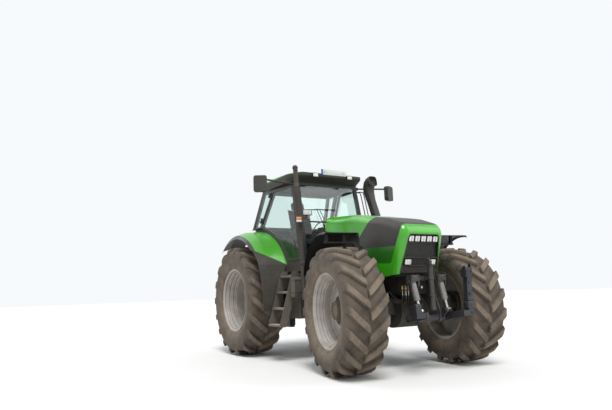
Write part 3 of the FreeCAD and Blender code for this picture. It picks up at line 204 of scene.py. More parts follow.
def strip(bm, points, width, height, out, closed=False):
    """A flat bead with rounded shoulders along points, standing on a surface that faces out."""
    out = Vector(out)
    rings = []
    count = len(points)
    for index, point in enumerate(points):
        before = points[index - 1] if index or closed else point
        after = points[(index + 1) % count] if index < count - 1 or closed else point
        side = (after - before).normalized().cross(out).normalized()
        rings.append([bm.verts.new(point + side * (a * width) + out * (b * height)) for a, b in BEAD])
    bridge(bm, rings + rings[:1] if closed else rings)
    if not closed:
        bm.faces.new(rings[0][::-1])
        bm.faces.new(rings[-1])


def curve_at(corner, before, after, t):
    """A point on the curve that rounds a corner, between two points beside it."""
    return before * (1 - t) ** 2 + corner * (2 * t * (1 - t)) + after * t ** 2


def rounded_loop(corners, radius, steps=5):
    """Round the corners of a flat loop; the radius may differ from corner to corner."""
    result = []
    count = len(corners)
    radii = radius if isinstance(radius, tuple) else (radius,) * count
    for index, corner in enumerate(corners):
        before = corner + (corners[index - 1] - corner).normalized() * radii[index]
        after = corner + (corners[(index + 1) % count] - corner).normalized() * radii[index]
        result += [curve_at(corner, before, after, step / steps) for step in range(steps + 1)]
    return result


def soft_plate(bm, corners, thickness, radius):
    """A flat plate with rounded corners between a loop of points and the same loop moved back."""
    normal = (corners[1] - corners[0]).cross(corners[-1] - corners[0]).normalized()
    loop = rounded_loop(corners, radius)
    skin(bm, [loop, [point + normal * thickness for point in loop]])


def add_object(name, data):
    obj = bpy.data.objects.new(name, data)
    bpy.context.scene.collection.objects.link(obj)
    return obj


def piece(name, bm, slot, material=None, body="chassis", stands_for=None, place=None, sharp=35):
    """Make an object from a mesh, smooth it up to an angle, hang it on the body it rides on and hide the part
    that it stands for.
    """
    bmesh.ops.recalc_face_normals(bm, faces=bm.faces)
    mesh = bpy.data.meshes.new(name)
    bm.to_mesh(mesh)
    bm.free()
    mesh.materials.append(material or finishes[slot])
    mesh.shade_smooth()
    mesh.set_sharp_from_angle(angle=radians(sharp))
    obj = add_object(name, mesh)
    if place is not None:
        obj.matrix_world = place
    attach(obj, body)
    if stands_for is not None:
        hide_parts(stands_for)
    return obj


def pipe(name, points, radius, material):
    """A smooth fixed tube on the chassis, led by its points."""
    curve = bpy.data.curves.new(name, "CURVE")
    curve.dimensions = "3D"
    spline = curve.splines.new("NURBS")
    spline.points.add(len(points) - 1)
    for target, point in zip(spline.points, points):
        target.co = (*point, 1)
    spline.order_u = 3
    spline.use_endpoint_u = True
    curve.bevel_depth = radius
    curve.bevel_resolution = 4
    curve.resolution_u = 8
    curve.use_fill_caps = True
    curve.materials.append(material)
    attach(add_object(name, curve), "chassis")


# Finishes

DUST = (0.235, 0.190, 0.135)
GREEN = (0.046, 0.385, 0.008)
DEEP_GREEN = (0.022, 0.150, 0.012)
ANTHRACITE = (0.034, 0.030, 0.027)


def shade(tone, share):
    return tuple(channel * share for channel in tone)


class Finish:
    """A procedural material that is put together step by step."""

    def __init__(self, name, rough, metal=0.0, **values):
        self.material = bpy.data.materials.new(name)
        self.material.use_nodes = True
        self.tree = self.material.node_tree
        self.shader = self.tree.nodes["Principled BSDF"]
        self.shader.inputs["Roughness"].default_value = rough
        self.shader.inputs["Metallic"].default_value = metal
        for key, value in values.items():
            self.shader.inputs[key.replace("_", " ")].default_value = value
        self.coords = self.add("ShaderNodeTexCoord").outputs["Object"]

    def add(self, kind, operation=None, **inputs):
        node = self.tree.nodes.new(kind)
        if operation is not None:
            node.operation = operation
        for key, value in inputs.items():
            self.put(node.inputs[key.replace("_", " ")], value)
        return node

    def put(self, socket, value):
        if isinstance(value, bpy.types.NodeSocket):
            self.tree.links.new(value, socket)
        else:
            socket.default_value = value

    def noise(self, scale, detail=3.0, stretch=None):
        coords = self.coords
        if stretch is not None:
            coords = self.add("ShaderNodeMapping", Vector=coords, Scale=stretch).outputs["Vector"]
        return self.add("ShaderNodeTexNoise", Vector=coords, Scale=scale, Detail=detail).outputs["Fac"]

    def between(self, value, low, high, new_low=0.0, new_high=1.0):
        node = self.add(
            "ShaderNodeMapRange", Value=value, From_Min=low, From_Max=high, To_Min=new_low, To_Max=new_high)
        return node.outputs["Result"]

    def math(self, operation, a, b=0.0):
        node = self.add("ShaderNodeMath", operation)
        self.put(node.inputs[0], a)
        self.put(node.inputs[1], b)
        return node.outputs[0]

    def mix(self, share, a, b):
        node = self.tree.nodes.new("ShaderNodeMix")
        node.data_type = "RGBA"
        self.put(node.inputs["Factor"], share)
        for socket, value in ((node.inputs[6], a), (node.inputs[7], b)):
            if not isinstance(value, bpy.types.NodeSocket):
                value = (*value, 1.0)
            self.put(socket, value)
        return node.outputs[2]

    def axis(self, name):
        return self.add("ShaderNodeSeparateXYZ", Vector=self.coords).outputs[name]

    def colour(self, value):
        self.put(self.shader.inputs["Base Color"], value)

    def rough(self, value):
        self.put(self.shader.inputs["Roughness"], value)

    def bump(self, height, strength, distance=0.002):
        node = self.add("ShaderNodeBump", Height=height, Strength=strength, Distance=distance)
        self.put(self.shader.inputs["Normal"], node.outputs["Normal"])


def dusted(name, base, rough, dust=0.25, metal=0.0, low=0.4, high=1.6, grain=0.0, **values):
    """A finish with a faint cloudy change of tone and dust that gathers lower down."""
    finish = Finish(name, rough, metal, **values)
    cloud = finish.noise(3.0)
    fine = finish.noise(45.0, 5.0)
    tone = finish.mix(finish.between(cloud, 0.35, 0.65), shade(base, 0.82), base)
    depth = finish.between(finish.axis("Z"), low, high, 1.0, 0.18)
    patches = finish.between(finish.math("ADD", cloud, fine), 0.75, 1.35, 0.15, 1.0)
    share = finish.math("MULTIPLY", finish.math("MULTIPLY", depth, patches), dust)
    finish.colour(finish.mix(share, tone, DUST))
    finish.rough(finish.between(share, 0.0, 0.6, rough, min(rough + 0.3, 0.9)))
    if grain:
        finish.bump(finish.noise(260.0, 2.0), grain, 0.001)
    return finish.material


def green_paint(name, rough):
    return dusted(name, GREEN, rough, 0.12, Coat_Weight=0.35, Coat_Roughness=0.12)


def guard_paint():
    """Green sheet whose outer edge is a black rubber strip."""
    finish = Finish("guard_paint", 0.34, Coat_Weight=0.35, Coat_Roughness=0.12)
    cloud = finish.noise(3.0)
    fine = finish.noise(45.0, 5.0)
    green = finish.mix(finish.between(cloud, 0.35, 0.65), shade(GREEN, 0.85), GREEN)
    dust = finish.between(finish.math("ADD", cloud, fine), 0.8, 1.4, 0.02, 0.20)
    green = finish.mix(dust, green, DUST)
    edge = finish.between(finish.math("ABSOLUTE", finish.axis("Y")), 1.243, 1.246)
    finish.colour(finish.mix(edge, green, (0.018, 0.017, 0.016)))
    finish.rough(finish.between(edge, 0.0, 1.0, 0.32, 0.65))
    return finish.material


def post_paint():
    """Posts and rails: black towards the outside, pale trim inside the cab."""
    finish = Finish("post_paint", 0.5)
    across = finish.math("ABSOLUTE", finish.axis("Y"))
    ahead = finish.math("SUBTRACT", finish.axis("X"), REAR_AXLE_X + SIDE_X)
    above = finish.math("SUBTRACT", finish.axis("Z"), SILL_Z)
    taper = finish.math("MULTIPLY", ahead, SIDE_TAPER)
    lean = finish.math("ADD", taper, finish.math("MULTIPLY", above, SIDE_LEAN))
    depth = finish.math("SUBTRACT", finish.math("ADD", across, lean), SIDE_Y)
    inside = finish.between(depth, -0.084, -0.080, 1.0, 0.0)
    behind = finish.between(finish.axis("X"), REAR_AXLE_X + 1.20, REAR_AXLE_X + 1.21, 1.0, 0.0)
    cloud = finish.between(finish.noise(6.0), 0.3, 0.7)
    black = finish.mix(cloud, (0.016, 0.016, 0.016), (0.024, 0.024, 0.023))
    pale = finish.mix(cloud, (0.150, 0.140, 0.135), (0.190, 0.180, 0.175))
    finish.colour(finish.mix(finish.math("MULTIPLY", inside, behind), black, pale))
    return finish.material


def side_panel_paint():
    """A deep green panel, darker than the bonnet, crossed by fine darker rows."""
    finish = Finish("side_panel_green", 0.3, Coat_Weight=0.3, Coat_Roughness=0.15)
    rows = finish.noise(160.0, 1.0, (1.0, 0.2, 1.0))
    finish.colour(finish.mix(finish.between(rows, 0.35, 0.65), shade(DEEP_GREEN, 0.75), DEEP_GREEN))
    return finish.material


def tyre_rubber(name, bead, tread):
    """Worn rubber: dusty on the tread, brown with soil near the rim."""
    finish = Finish(name, 0.86)
    flat = finish.add("ShaderNodeCombineXYZ", X=finish.axis("X"), Z=finish.axis("Z")).outputs["Vector"]
    length = finish.add("ShaderNodeVectorMath", "LENGTH")
    finish.put(length.inputs[0], flat)
    radius = length.outputs["Value"]
    cloud = finish.noise(6.0, 5.0)
    fine = finish.noise(60.0, 4.0)
    base = finish.mix(finish.between(cloud, 0.3, 0.7), (0.038, 0.031, 0.025), (0.074, 0.059, 0.045))
    near_rim = finish.between(radius, bead, bead + 0.20, 1.0, 0.28)
    on_tread = finish.between(radius, tread - 0.05, tread, 0.0, 0.75)
    soil = finish.math("MAXIMUM", near_rim, on_tread)
    patch = finish.between(finish.math("ADD", cloud, fine), 0.7, 1.25, 0.25, 1.0)
    finish.colour(finish.mix(finish.math("MULTIPLY", soil, patch), base, (0.235, 0.180, 0.128)))
    finish.bump(finish.math("ADD", fine, finish.noise(220.0, 3.0)), 0.25, 0.002)
    return finish.material


def rim_silver():
    """Silver paint with cloudy patches of soil."""
    finish = Finish("rim_silver", 0.40, 0.35)
    cloud = finish.noise(5.0, 5.0)
    fine = finish.noise(70.0, 4.0)
    base = finish.mix(finish.between(fine, 0.35, 0.7), (0.335, 0.312, 0.285), (0.455, 0.430, 0.398))
    soil = finish.math("ADD", cloud, finish.math("MULTIPLY", fine, 0.35))
    share = finish.between(soil, 0.55, 0.92, 0.06, 0.60)
    finish.colour(finish.mix(share, base, (0.235, 0.190, 0.140)))
    finish.rough(finish.between(share, 0.0, 0.5, 0.34, 0.75))
    return finish.material


def tinted_glass():
    finish = Finish("tinted_glass", 0.02, IOR=1.45, Transmission_Weight=1.0)
    finish.colour(finish.mix(finish.noise(1.5), (0.80, 0.91, 0.88), (0.86, 0.95, 0.92)))
    return finish.material


def lamp_glass(name, tone):
    finish = Finish(name, 0.12, Coat_Weight=0.6)
    ribs = finish.noise(90.0, 1.0, (1.0, 1.0, 0.15))
    finish.colour(finish.mix(finish.between(ribs, 0.3, 0.7), shade(tone, 0.7), tone))
    finish.bump(ribs, 0.3, 0.001)
    return finish.material


def seat_fabric():
    finish = Finish("seat_fabric", 0.9, Sheen_Weight=0.4)
    weave = finish.noise(420.0, 1.0)
    finish.colour(finish.mix(finish.between(weave, 0.35, 0.65), (0.030, 0.031, 0.034), (0.062, 0.063, 0.066)))
    finish.bump(weave, 0.35, 0.001)
    return finish.material


def grille_mesh():
    """Black sheet with small holes, shown as dark spots: painted shade of the inside seen through them."""
    finish = Finish("grille_mesh", 0.55)
    cells = finish.add("ShaderNodeTexVoronoi", Scale=70.0, Vector=finish.coords)
    shaded_hole = finish.between(cells.outputs["Distance"], 0.25, 0.45, 0.0, 1.0)
    # Painted shade: the holes are near-black
    finish.colour(finish.mix(shaded_hole, (0.003, 0.003, 0.003), (0.016, 0.016, 0.015)))
    finish.bump(shaded_hole, 0.6, 0.003)
    return finish.material


def mirror_glass():
    finish = Finish("mirror_glass", 0.05, 1.0)
    finish.colour(finish.mix(finish.noise(2.0), (0.55, 0.58, 0.60), (0.62, 0.65, 0.67)))
    return finish.material


finishes = {
    "green_paint": green_paint("green_paint", 0.30),
    "hood_shell": green_paint("bonnet_green", 0.28),
    "black_paint": dusted("black_paint", (0.022, 0.023, 0.026), 0.42, 0.35, grain=0.1),
    "cast_green": dusted("cast_metal", (0.014, 0.015, 0.012), 0.62, 0.30, low=0.3, high=1.2, grain=0.5),
    "cab_grey": dusted("cab_grey", (0.022, 0.023, 0.023), 0.40, 0.15, grain=0.1),
    "dark_plastic": dusted("dark_plastic", (0.020, 0.020, 0.019), 0.52, 0.45, low=0.6, high=2.0, grain=0.35),
    "grey_plastic": dusted("grey_plastic", (0.060, 0.053, 0.043), 0.60, 0.4, grain=0.3),
    "rim_silver": rim_silver(),
    "tyre_rubber": tyre_rubber("tyre_rubber", 0.53, 0.93),
    "tinted_glass": tinted_glass(),
    "lamp_glass": lamp_glass("lamp_glass", (0.80, 0.81, 0.76)),
    "seat_fabric": seat_fabric(),
    "bright_steel": dusted("bright_steel", (0.58, 0.57, 0.55), 0.22, 0.15, 1.0),
    "pipe_steel": dusted("pipe_steel", (0.041, 0.033, 0.027), 0.60, 0.3, 0.25, grain=0.2),
    "step_metal": dusted("step_metal", (0.120, 0.108, 0.088), 0.50, 0.40, 0.3, grain=0.3),
}
BAND = dusted("anthracite", ANTHRACITE, 0.50, 0.10, Coat_Weight=0.05, Coat_Roughness=0.3)
BRASS = dusted("brass", (0.42, 0.29, 0.10), 0.35, 0.3, 0.9)
HUB_METAL = dusted("hub_metal", (0.085, 0.070, 0.055), 0.6, 0.6, 0.3, low=0.2, high=1.6, grain=0.4)
PLATE_WHITE = dusted("plate_white", (0.62, 0.64, 0.60), 0.4, 0.08, high=3.4)
PLATE_BLUE = dusted("plate_blue", (0.05, 0.12, 0.42), 0.4, 0.08, high=3.4)
AMBER = lamp_glass("amber_glass", (0.80, 0.24, 0.03))
RED = lamp_glass("red_glass", (0.55, 0.02, 0.02))
HOSE = dusted("hose_rubber", (0.014, 0.014, 0.014), 0.6, 0.3)
BARREL_GREY = dusted("barrel_grey", (0.21, 0.21, 0.205), 0.35, 0.35, 0.4)
LINER = dusted("liner", (0.030, 0.027, 0.021), 0.6, 0.05, grain=0.3)
# Painted shade: near-black marks that stand for the exhaust shield's slots, whose insides lie in shade
SLOT_SHADE = dusted("slot_shade_black", (0.006, 0.006, 0.006), 0.8, 0.1)
BLUE_BLACK = dusted("blue_black_paint", (0.014, 0.016, 0.024), 0.42, 0.15, grain=0.15)
# Near-black: the front guards, the exhaust's ball, and painted shade on the rear guards' faces towards the
# wheels
GUARD_BLACK = dusted("guard_black", (0.0085, 0.0085, 0.0075), 0.5, 0.05, grain=0.2)
TREAD_METAL = dusted("tread_metal", (0.36, 0.34, 0.31), 0.45, 0.35, 0.5)

for obj in nodes.values():
    for index, old in enumerate(obj.data.materials):
        key = old.name.split(".")[0]
        if key in finishes:
            obj.data.materials[index] = finishes[key]
# What a node wears instead of its slot's own finish
for name, material in (
    ("hood_band", BAND), ("hood_side_panels", side_panel_paint()), ("rear_guards", guard_paint()),
    ("grille", grille_mesh()), ("front_lift_barrels", BARREL_GREY), ("cab_frame", post_paint()),
    ("front_lift_arms", BLUE_BLACK), ("front_guard_left", GUARD_BLACK), ("front_guard_right", GUARD_BLACK),
    ("exhaust", finishes["pipe_steel"]),
):
    nodes[name].data.materials[0] = material

# Pressed and cast parts have their edges rounded a little: node and width
for name, width in (
    ("transmission", 0.010), ("engine_block", 0.012), ("front_frame", 0.010), ("front_axle_beam", 0.006),
    ("cowl", 0.006), ("fuel_tanks", 0.008), ("side_boxes", 0.008), ("radiator", 0.006),
    ("lower_links", 0.005), ("front_hitch", 0.003), ("rear_hitch", 0.004), ("dashboard", 0.008),
    ("seat_base", 0.008),
):
    bevel = nodes[name].modifiers.new("edges", "BEVEL")
    bevel.width = width
    bevel.segments = 2
    bevel.limit_method = "ANGLE"
    bevel.angle_limit = radians(40)
    bevel.harden_normals = True


def blacken_faces(name, chosen):
    """Give the near-black finish to the faces of a node that a test picks: painted shade on the rear guards'
    faces towards the wheels, and the black stays of the front guards.
    """
    mesh = nodes[name].data
    mesh.materials.append(GUARD_BLACK)
    for face in mesh.polygons:
        if chosen(face):
            face.material_index = len(mesh.materials) - 1


def looks_at_wheel(face):
    towards = Vector((REAR_AXLE_X - face.center.x, 0, REAR_AXLE_Z - face.center.z))
    return face.normal.dot(towards) > 0.3 * towards.length


def holds_guard(face):
    """The stays of a front mudguard stand above the knuckle's top."""
    return face.center.z > 1.10


# Painted shade: the rear guards' faces that look towards the wheels are made near-black
blacken_faces("rear_guards", looks_at_wheel)
for _, name in SIDES:
    blacken_faces("knuckle_" + name, holds_guard)


# Wheels


class Wheel:
    """The sizes that a wheel's tyre and rim are drawn from."""

    def __init__(self, radius, width, lugs, seat, rim_width, disc_depth, hub_radius, hub_out):
        self.radius = radius
        self.width = width
        self.lugs = lugs
        self.seat = seat
        self.rim_width = rim_width
        self.disc_depth = disc_depth
        self.hub_radius = hub_radius
        self.hub_out = hub_out


REAR = Wheel(0.965, 0.652, 18, 0.533, 0.540, 0.350, 0.150, 0.060)
FRONT = Wheel(0.835, 0.577, 18, 0.478, 0.470, 0.200, 0.138, 0.085)
LUG_HEIGHT = 0.055

# The carcass from bead to crown: share of the half width, share of the way from seat to crown
CARCASS = (
    (0.745, 0.0), (0.80, 0.035), (0.84, 0.07), (0.85, 0.12), (0.92, 0.24), (0.975, 0.40), (0.995, 0.55),
    (0.985, 0.70), (0.955, 0.82), (0.90, 0.91), (0.83, 0.95), (0.60, 0.978), (0.30, 0.995),
)

# A lug's stations: share of the half width, drop of its top, depth of its foot, lead along the tread,
# half width of its top
LUG_STATIONS = (
    (0.010, 0.000, 0.060, 0.137, 0.036),
    (0.100, 0.000, 0.062, 0.118, 0.045),
    (0.280, 0.002, 0.064, 0.072, 0.048),
    (0.480, 0.004, 0.068, 0.018, 0.049),
    (0.680, 0.009, 0.078, -0.040, 0.050),
    (0.840, 0.016, 0.090, -0.085, 0.052),
    (0.915, 0.030, 0.105, -0.105, 0.052),
    (0.965, 0.070, 0.130, -0.118, 0.050),
    (0.990, 0.120, 0.165, -0.126, 0.046),
)
LUG_FLARE = 0.016
LUG_ROUND = 0.006


def tyre_profile(wheel):
    """The carcass from bead to bead as (along the axle, radius)."""
    half = wheel.width / 2
    crown = wheel.radius - LUG_HEIGHT - 0.002
    right = [(share * half, wheel.seat + rise * (crown - wheel.seat)) for share, rise in CARCASS]
    return right + [(0.0, crown)] + [(-y, r) for y, r in reversed(right)]


def add_lug(bm, wheel, top_radius, angle, side):
    """One curved bar of the tread with tapered flanks, which wraps over the shoulder."""
    half = wheel.width / 2
    rings = []
    for share, drop, depth, lead, top in LUG_STATIONS:
        y_top = share * half
        y_foot = y_top - max(0.0, share - 0.90) / 0.09 * 0.030
        brink = top - LUG_ROUND
        flank = top + LUG_FLARE
        ring = []
        for offset, below, y in (
            (-flank, depth, y_foot), (-top, drop + LUG_ROUND, y_top), (-brink, drop, y_top),
            (brink, drop, y_top), (top, drop + LUG_ROUND, y_top), (flank, depth, y_foot),
        ):
            turn = angle + (lead + offset) / wheel.radius
            radius = top_radius - below
            ring.append(Vector((radius * sin(turn), side * y, radius * cos(turn))))
        rings.append(ring)
    skin(bm, rings)


def make_tyre(name, node, wheel, place, body, height, material):
    bm = bmesh.new()
    lathe(bm, tyre_profile(wheel), 96)
    # Raised rings on the sidewall: near the bead and under the shoulder
    for side, _ in SIDES:
        for share, rise in ((0.868, 0.13), (0.988, 0.66)):
            radius = wheel.seat + rise * (wheel.radius - LUG_HEIGHT - wheel.seat)
            y = side * share * wheel.width / 2
            ring = ((-0.012, -0.007), (0.002, -0.004), (0.002, 0.004), (-0.012, 0.007))
            lathe(bm, [(y + side * out, radius + step) for out, step in ring], 96)
    pitch = 2 * pi / wheel.lugs
    top = min(wheel.radius, height) - 0.001
    for index in range(wheel.lugs):
        add_lug(bm, wheel, top, pitch * (index + 0.25), 1)
        add_lug(bm, wheel, top, pitch * (index + 0.75), -1)
    piece(name, bm, "tyre_rubber", material, body, node, place, 38)


RIM_STEPS = (0.22, 0.42, 0.62)
RIM_STEP = 0.021


def rim_profile(wheel):
    """Flange, stepped barrel and dished disc as a loop of (along the axle, radius)."""
    half = wheel.rim_width / 2
    seat = wheel.seat - 0.002
    disc = half - wheel.disc_depth
    lip = seat + 0.023
    inner = seat - 0.013
    profile = [
        (half - 0.005, lip), (half - 0.001, lip - 0.003), (half, lip - 0.008), (half - 0.002, lip - 0.020),
        (half - 0.010, seat - 0.006), (half - 0.022, inner + 0.001), (half - 0.026, inner),
    ]
    for index, share in enumerate(RIM_STEPS):
        y = half - share * wheel.disc_depth
        high = inner - index * RIM_STEP
        low = high - RIM_STEP
        # Each step has a raised bead at its brink, then falls to the next level
        profile += [
            (y + 0.024, high), (y + 0.016, high - 0.009), (y + 0.007, high - 0.012),
            (y - 0.001, high - 0.009), (y - 0.006, low + 0.008), (y - 0.012, low + 0.002), (y - 0.020, low),
        ]
    low = inner - len(RIM_STEPS) * RIM_STEP
    boss = 0.45 * seat
    return profile + [
        (disc - 0.028, low - 0.002), (disc - 0.036, low - 0.012), (disc - 0.034, low - 0.032),
        (disc - 0.014, boss + 0.060), (disc - 0.002, boss + 0.020), (disc, boss), (disc, boss - 0.02),
        (disc - 0.013, boss - 0.02), (disc - 0.013, boss), (disc - 0.055, low - 0.010),
        (disc - 0.060, inner), (-half + 0.010, inner), (-half, lip - 0.006), (-half, lip),
        (-half + 0.02, seat), (half - 0.02, seat),
    ]


def hub_profile(wheel, disc, boss):
    """A drum on a flange, with a shallow recess in its end, as a loop of (along the axle, radius)."""
    radius, end = wheel.hub_radius, disc + wheel.hub_out
    return [
        (disc - 0.060, 0.062), (disc - 0.060, radius), (disc - 0.012, radius), (disc - 0.012, boss - 0.018),
        (disc + 0.006, boss - 0.020), (disc + 0.008, boss - 0.030), (disc + 0.008, radius + 0.004),
        (disc + 0.55 * wheel.hub_out, 0.97 * radius), (end - 0.008, 0.86 * radius), (end, 0.84 * radius),
        (end, 0.60 * radius), (end - 0.010, 0.58 * radius), (end - 0.010, 0.001), (disc - 0.060, 0.001),
    ]


def make_rim(name, node, wheel, place, body, out):
    """Barrel with stepped rings, dished disc with a ring of bolts, and a drum-shaped hub."""
    bm = bmesh.new()
    lathe(bm, [(out * y, r) for y, r in rim_profile(wheel)], 96)
    # The air valve stands near the flange
    half = wheel.rim_width / 2
    foot = Vector((0.0, out * (half - 0.060), -wheel.seat + 0.020))
    rod(bm, foot, foot + Vector((0.0, out * 0.040, 0.016)), 0.005, 10)
    piece(name, bm, "rim_silver", None, body, node, place, 30)
    disc = half - wheel.disc_depth
    boss = 0.45 * (wheel.seat - 0.002)
    hub = bmesh.new()
    lathe(hub, [(out * y, r) for y, r in hub_profile(wheel, disc, boss)], 48)
    # Wheel bolts and the bolts of the drum's cover: count, circle, place along the axle, size, height
    for count, circle, y, size, tall in (
        (10, max(boss - 0.052, wheel.hub_radius + 0.018), disc + 0.007, 0.014, 0.020),
        (12, 0.72 * wheel.hub_radius, disc + wheel.hub_out - 0.001, 0.008, 0.009),
    ):
        for angle in around(count):
            bolt(hub, (circle * cos(angle), out * y, circle * sin(angle)), (0, out, 0), size, tall)
    piece(name + "_hub", hub, "rim_silver", HUB_METAL, body, node, place, 32)


def wheel_place(joint):
    """A wheel's own frame: its middle on the axle line and local Y along the axle."""
    axle = Vector(joint["axis"]).normalized()
    forward = axle.cross(Vector((0, 0, 1))).normalized()
    turn = Matrix((forward, axle, forward.cross(axle))).transposed().to_4x4()
    return Matrix.Translation(joint["pos_m"]) @ turn


def make_wheels():
    for kind, wheel in (("rear", REAR), ("front", FRONT)):
        rubber = tyre_rubber(kind + "_tyre_rubber", wheel.seat, wheel.radius - 0.02)
        for side, name in SIDES:
            joint = joints[kind + "_wheel_spin_" + name]
            place = wheel_place(joint)
            body = kind + "_wheel_" + name
            make_tyre(body + "_tyre", kind + "_tyre_" + name, wheel, place, body, joint["pos_m"][2], rubber)
            make_rim(body + "_rim", kind + "_rim_" + name, wheel, place, body, side)


# Bonnet and its face

FACE_TOP = at(WHEELBASE + 0.582, 0, 1.925)
FACE_SLOPE = 0.30
FACE_OUT = Vector((1, 0, -FACE_SLOPE)).normalized()
MOUTH_TOP = 1.800
MOUTH_BOTTOM = 1.283
MOUTH_HALF_TOP = 0.262
MOUTH_HALF_BOTTOM = 0.330
GRILLE_BACK = -0.040


def on_face(y, z, out=0.0):
    """A point on the bonnet's sloping face."""
    x = FACE_TOP.x - (FACE_TOP.z - z) * FACE_SLOPE
    return Vector((x, y, z)) + FACE_OUT * out


def mouth_half(z):
    """Half the width of the face's opening at a height."""
    share = (MOUTH_TOP - z) / (MOUTH_TOP - MOUTH_BOTTOM)
    return MOUTH_HALF_TOP + share * (MOUTH_HALF_BOTTOM - MOUTH_HALF_TOP)


def make_grille_bars():
    """Fine bars over the grille, the heavier bars of its frame, and the blank plate below."""
    bars = bmesh.new()
    # Height, width, how far it stands out
    fine = [(1.505 + index * 0.0135, 0.004, 0.004) for index in range(14)]
    heavy = [(1.692, 0.010, 0.030), (1.494, 0.012, 0.034), (1.386, 0.012, 0.036), (1.300, 0.016, 0.030)]
    for z, width, height in fine + heavy:
        half = mouth_half(z) - 0.006
        strip(bars, [on_face(-half, z, GRILLE_BACK), on_face(half, z, GRILLE_BACK)], width, height, FACE_OUT)
    for index in range(11):
        share = -0.9 + 0.18 * index
        ends = [on_face(share * mouth_half(z), z, GRILLE_BACK) for z in (1.50, 1.69)]
        strip(bars, ends, 0.004, 0.005, FACE_OUT)
    corners = ((-0.312, 1.312), (0.312, 1.312), (0.304, 1.374), (-0.304, 1.374))
    soft_plate(bars, [on_face(y, z, GRILLE_BACK + 0.003) for y, z in corners], 0.016, 0.006)
    piece("grille_bars", bars, "dark_plastic", body="bonnet")


def make_mouth_trim():
    """The sealing lip along the sides and the arched top of the face's opening."""
    lip = bmesh.new()
    side = [on_face(-mouth_half(z), z, -0.004) for z in (1.286, 1.40, 1.52, 1.64, 1.755)]
    corners = ((-MOUTH_HALF_TOP, MOUTH_TOP), (MOUTH_HALF_TOP, MOUTH_TOP), (0.0, 1.5))
    arch = rounded_loop([on_face(y, z, -0.004) for y, z in corners], 0.038)[:12]
    other = [Vector((p.x, -p.y, p.z)) for p in reversed(side)]
    strip(lip, side + arch + other, 0.012, 0.006, FACE_OUT)
    piece("mouth_trim", lip, "dark_plastic", body="bonnet")


# Share of a lamp's outline and how far it stands out, for the domed glass and for the housing behind it
LENS_STATIONS = ((1.0, -0.014), (1.0, -0.004), (0.95, -0.0015), (0.6, -0.0002))
HOUSING_STATIONS = ((0.9, -0.040), (1.02, -0.013))


def add_lamp(lamps, bezels, y, z, half_width, half_height):
    """A lamp glass with a low dome, its housing behind, and a rounded frame about it."""
    edge = rounded_loop([on_face(y + a * half_width, z + b * half_height) for a, b in CORNERS], 0.010)
    centre = on_face(y, z)
    for bm, stations in ((lamps, LENS_STATIONS), (bezels, HOUSING_STATIONS)):
        skin(bm, [
            [centre + (point - centre) * share + FACE_OUT * out for point in edge] for share, out in stations
        ])
    strip(bezels, [point + FACE_OUT * -0.008 for point in edge], 0.006, 0.006, FACE_OUT, True)


def make_headlamps():
    """Five lamps in a row, each parted into two reflectors, and two lamps below the grille."""
    lamps, bezels = bmesh.new(), bmesh.new()
    for index in range(-2, 3):
        y = 0.105 * index
        add_lamp(lamps, bezels, y, 1.741, 0.040, 0.036)
        strip(bezels, [on_face(y, 1.707, 0.0005), on_face(y, 1.775, 0.0005)], 0.004, 0.002, FACE_OUT)
    for side, _ in SIDES:
        add_lamp(lamps, bezels, side * 0.215, 1.436, 0.053, 0.034)
    piece("headlamp_lenses", lamps, "lamp_glass", body="bonnet", stands_for="headlamps")
    piece("headlamp_bezels", bezels, "dark_plastic", body="bonnet", stands_for="headlamps")


# Cab


def make_steering_wheel():
    low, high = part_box("steering_wheel")
    column = Vector((-0.130, 0, 0.100)).normalized()
    place = Matrix.Translation((low + high) / 2) @ column.to_track_quat("Z", "Y").to_matrix().to_4x4()
    bm = bmesh.new()
    tube = 0.013
    lathe(bm, [(tube * sin(angle), 0.185 + tube * cos(angle)) for angle in around(10)], 48, "z")
    lathe_capped(bm, [(-0.018, 0), (-0.018, 0.034), (0.008, 0.038), (0.016, 0.030), (0.018, 0)], 24)
    for turn in around(3):
        rod(bm, (0, 0, 0.002), (0.182 * cos(turn), 0.182 * sin(turn), 0), 0.009, 10)
    piece("steering_wheel_round", bm, "dark_plastic", stands_for="steering_wheel", place=place)


def cushion(name, node, place, size, crown, seams):
    """A crowned pad: its sides pull in between the corners and its channels are sewn in."""
    bm = bmesh.new()
    for side, rise, channels in ((1, crown, seams), (-1, 0.3 * crown, ())):
        half = bmesh.new()
        bmesh.ops.create_grid(half, x_segments=28, y_segments=28, size=0.5)
        for vert in half.verts:
            vert.co = pad_point(vert.co.x, vert.co.y, size, rise, channels, side)
        merge(bm, half)
    bmesh.ops.remove_doubles(bm, verts=bm.verts, dist=0.0005)
    piece(name, bm, "seat_fabric", stands_for=node, place=place, sharp=80)


def pad_point(u, v, size, crown, seams, side):
    """A point of a pad's upper or lower face for shares u and v from -0.5 to 0.5."""
    length, width, depth = size
    pull = 0.018
    x = u * (length - pull * (1 - (2 * v) ** 2))
    y = v * (width - pull * (1 - (2 * u) ** 2))
    edge = min(0.5 - abs(u), 0.5 - abs(v)) * 2
    shoulder = sqrt(max(0.0, 1 - (1 - min(1.0, edge / 0.22)) ** 2))
    rise = depth / 2 * shoulder + crown * (cos(pi * u) * cos(pi * v)) * shoulder
    for axis, place in seams:
        distance = abs((u if axis == "u" else v) - place)
        rise -= 0.010 * max(0.0, 1 - distance / 0.035) ** 0.5 * shoulder
    return Vector((x, y, side * rise))


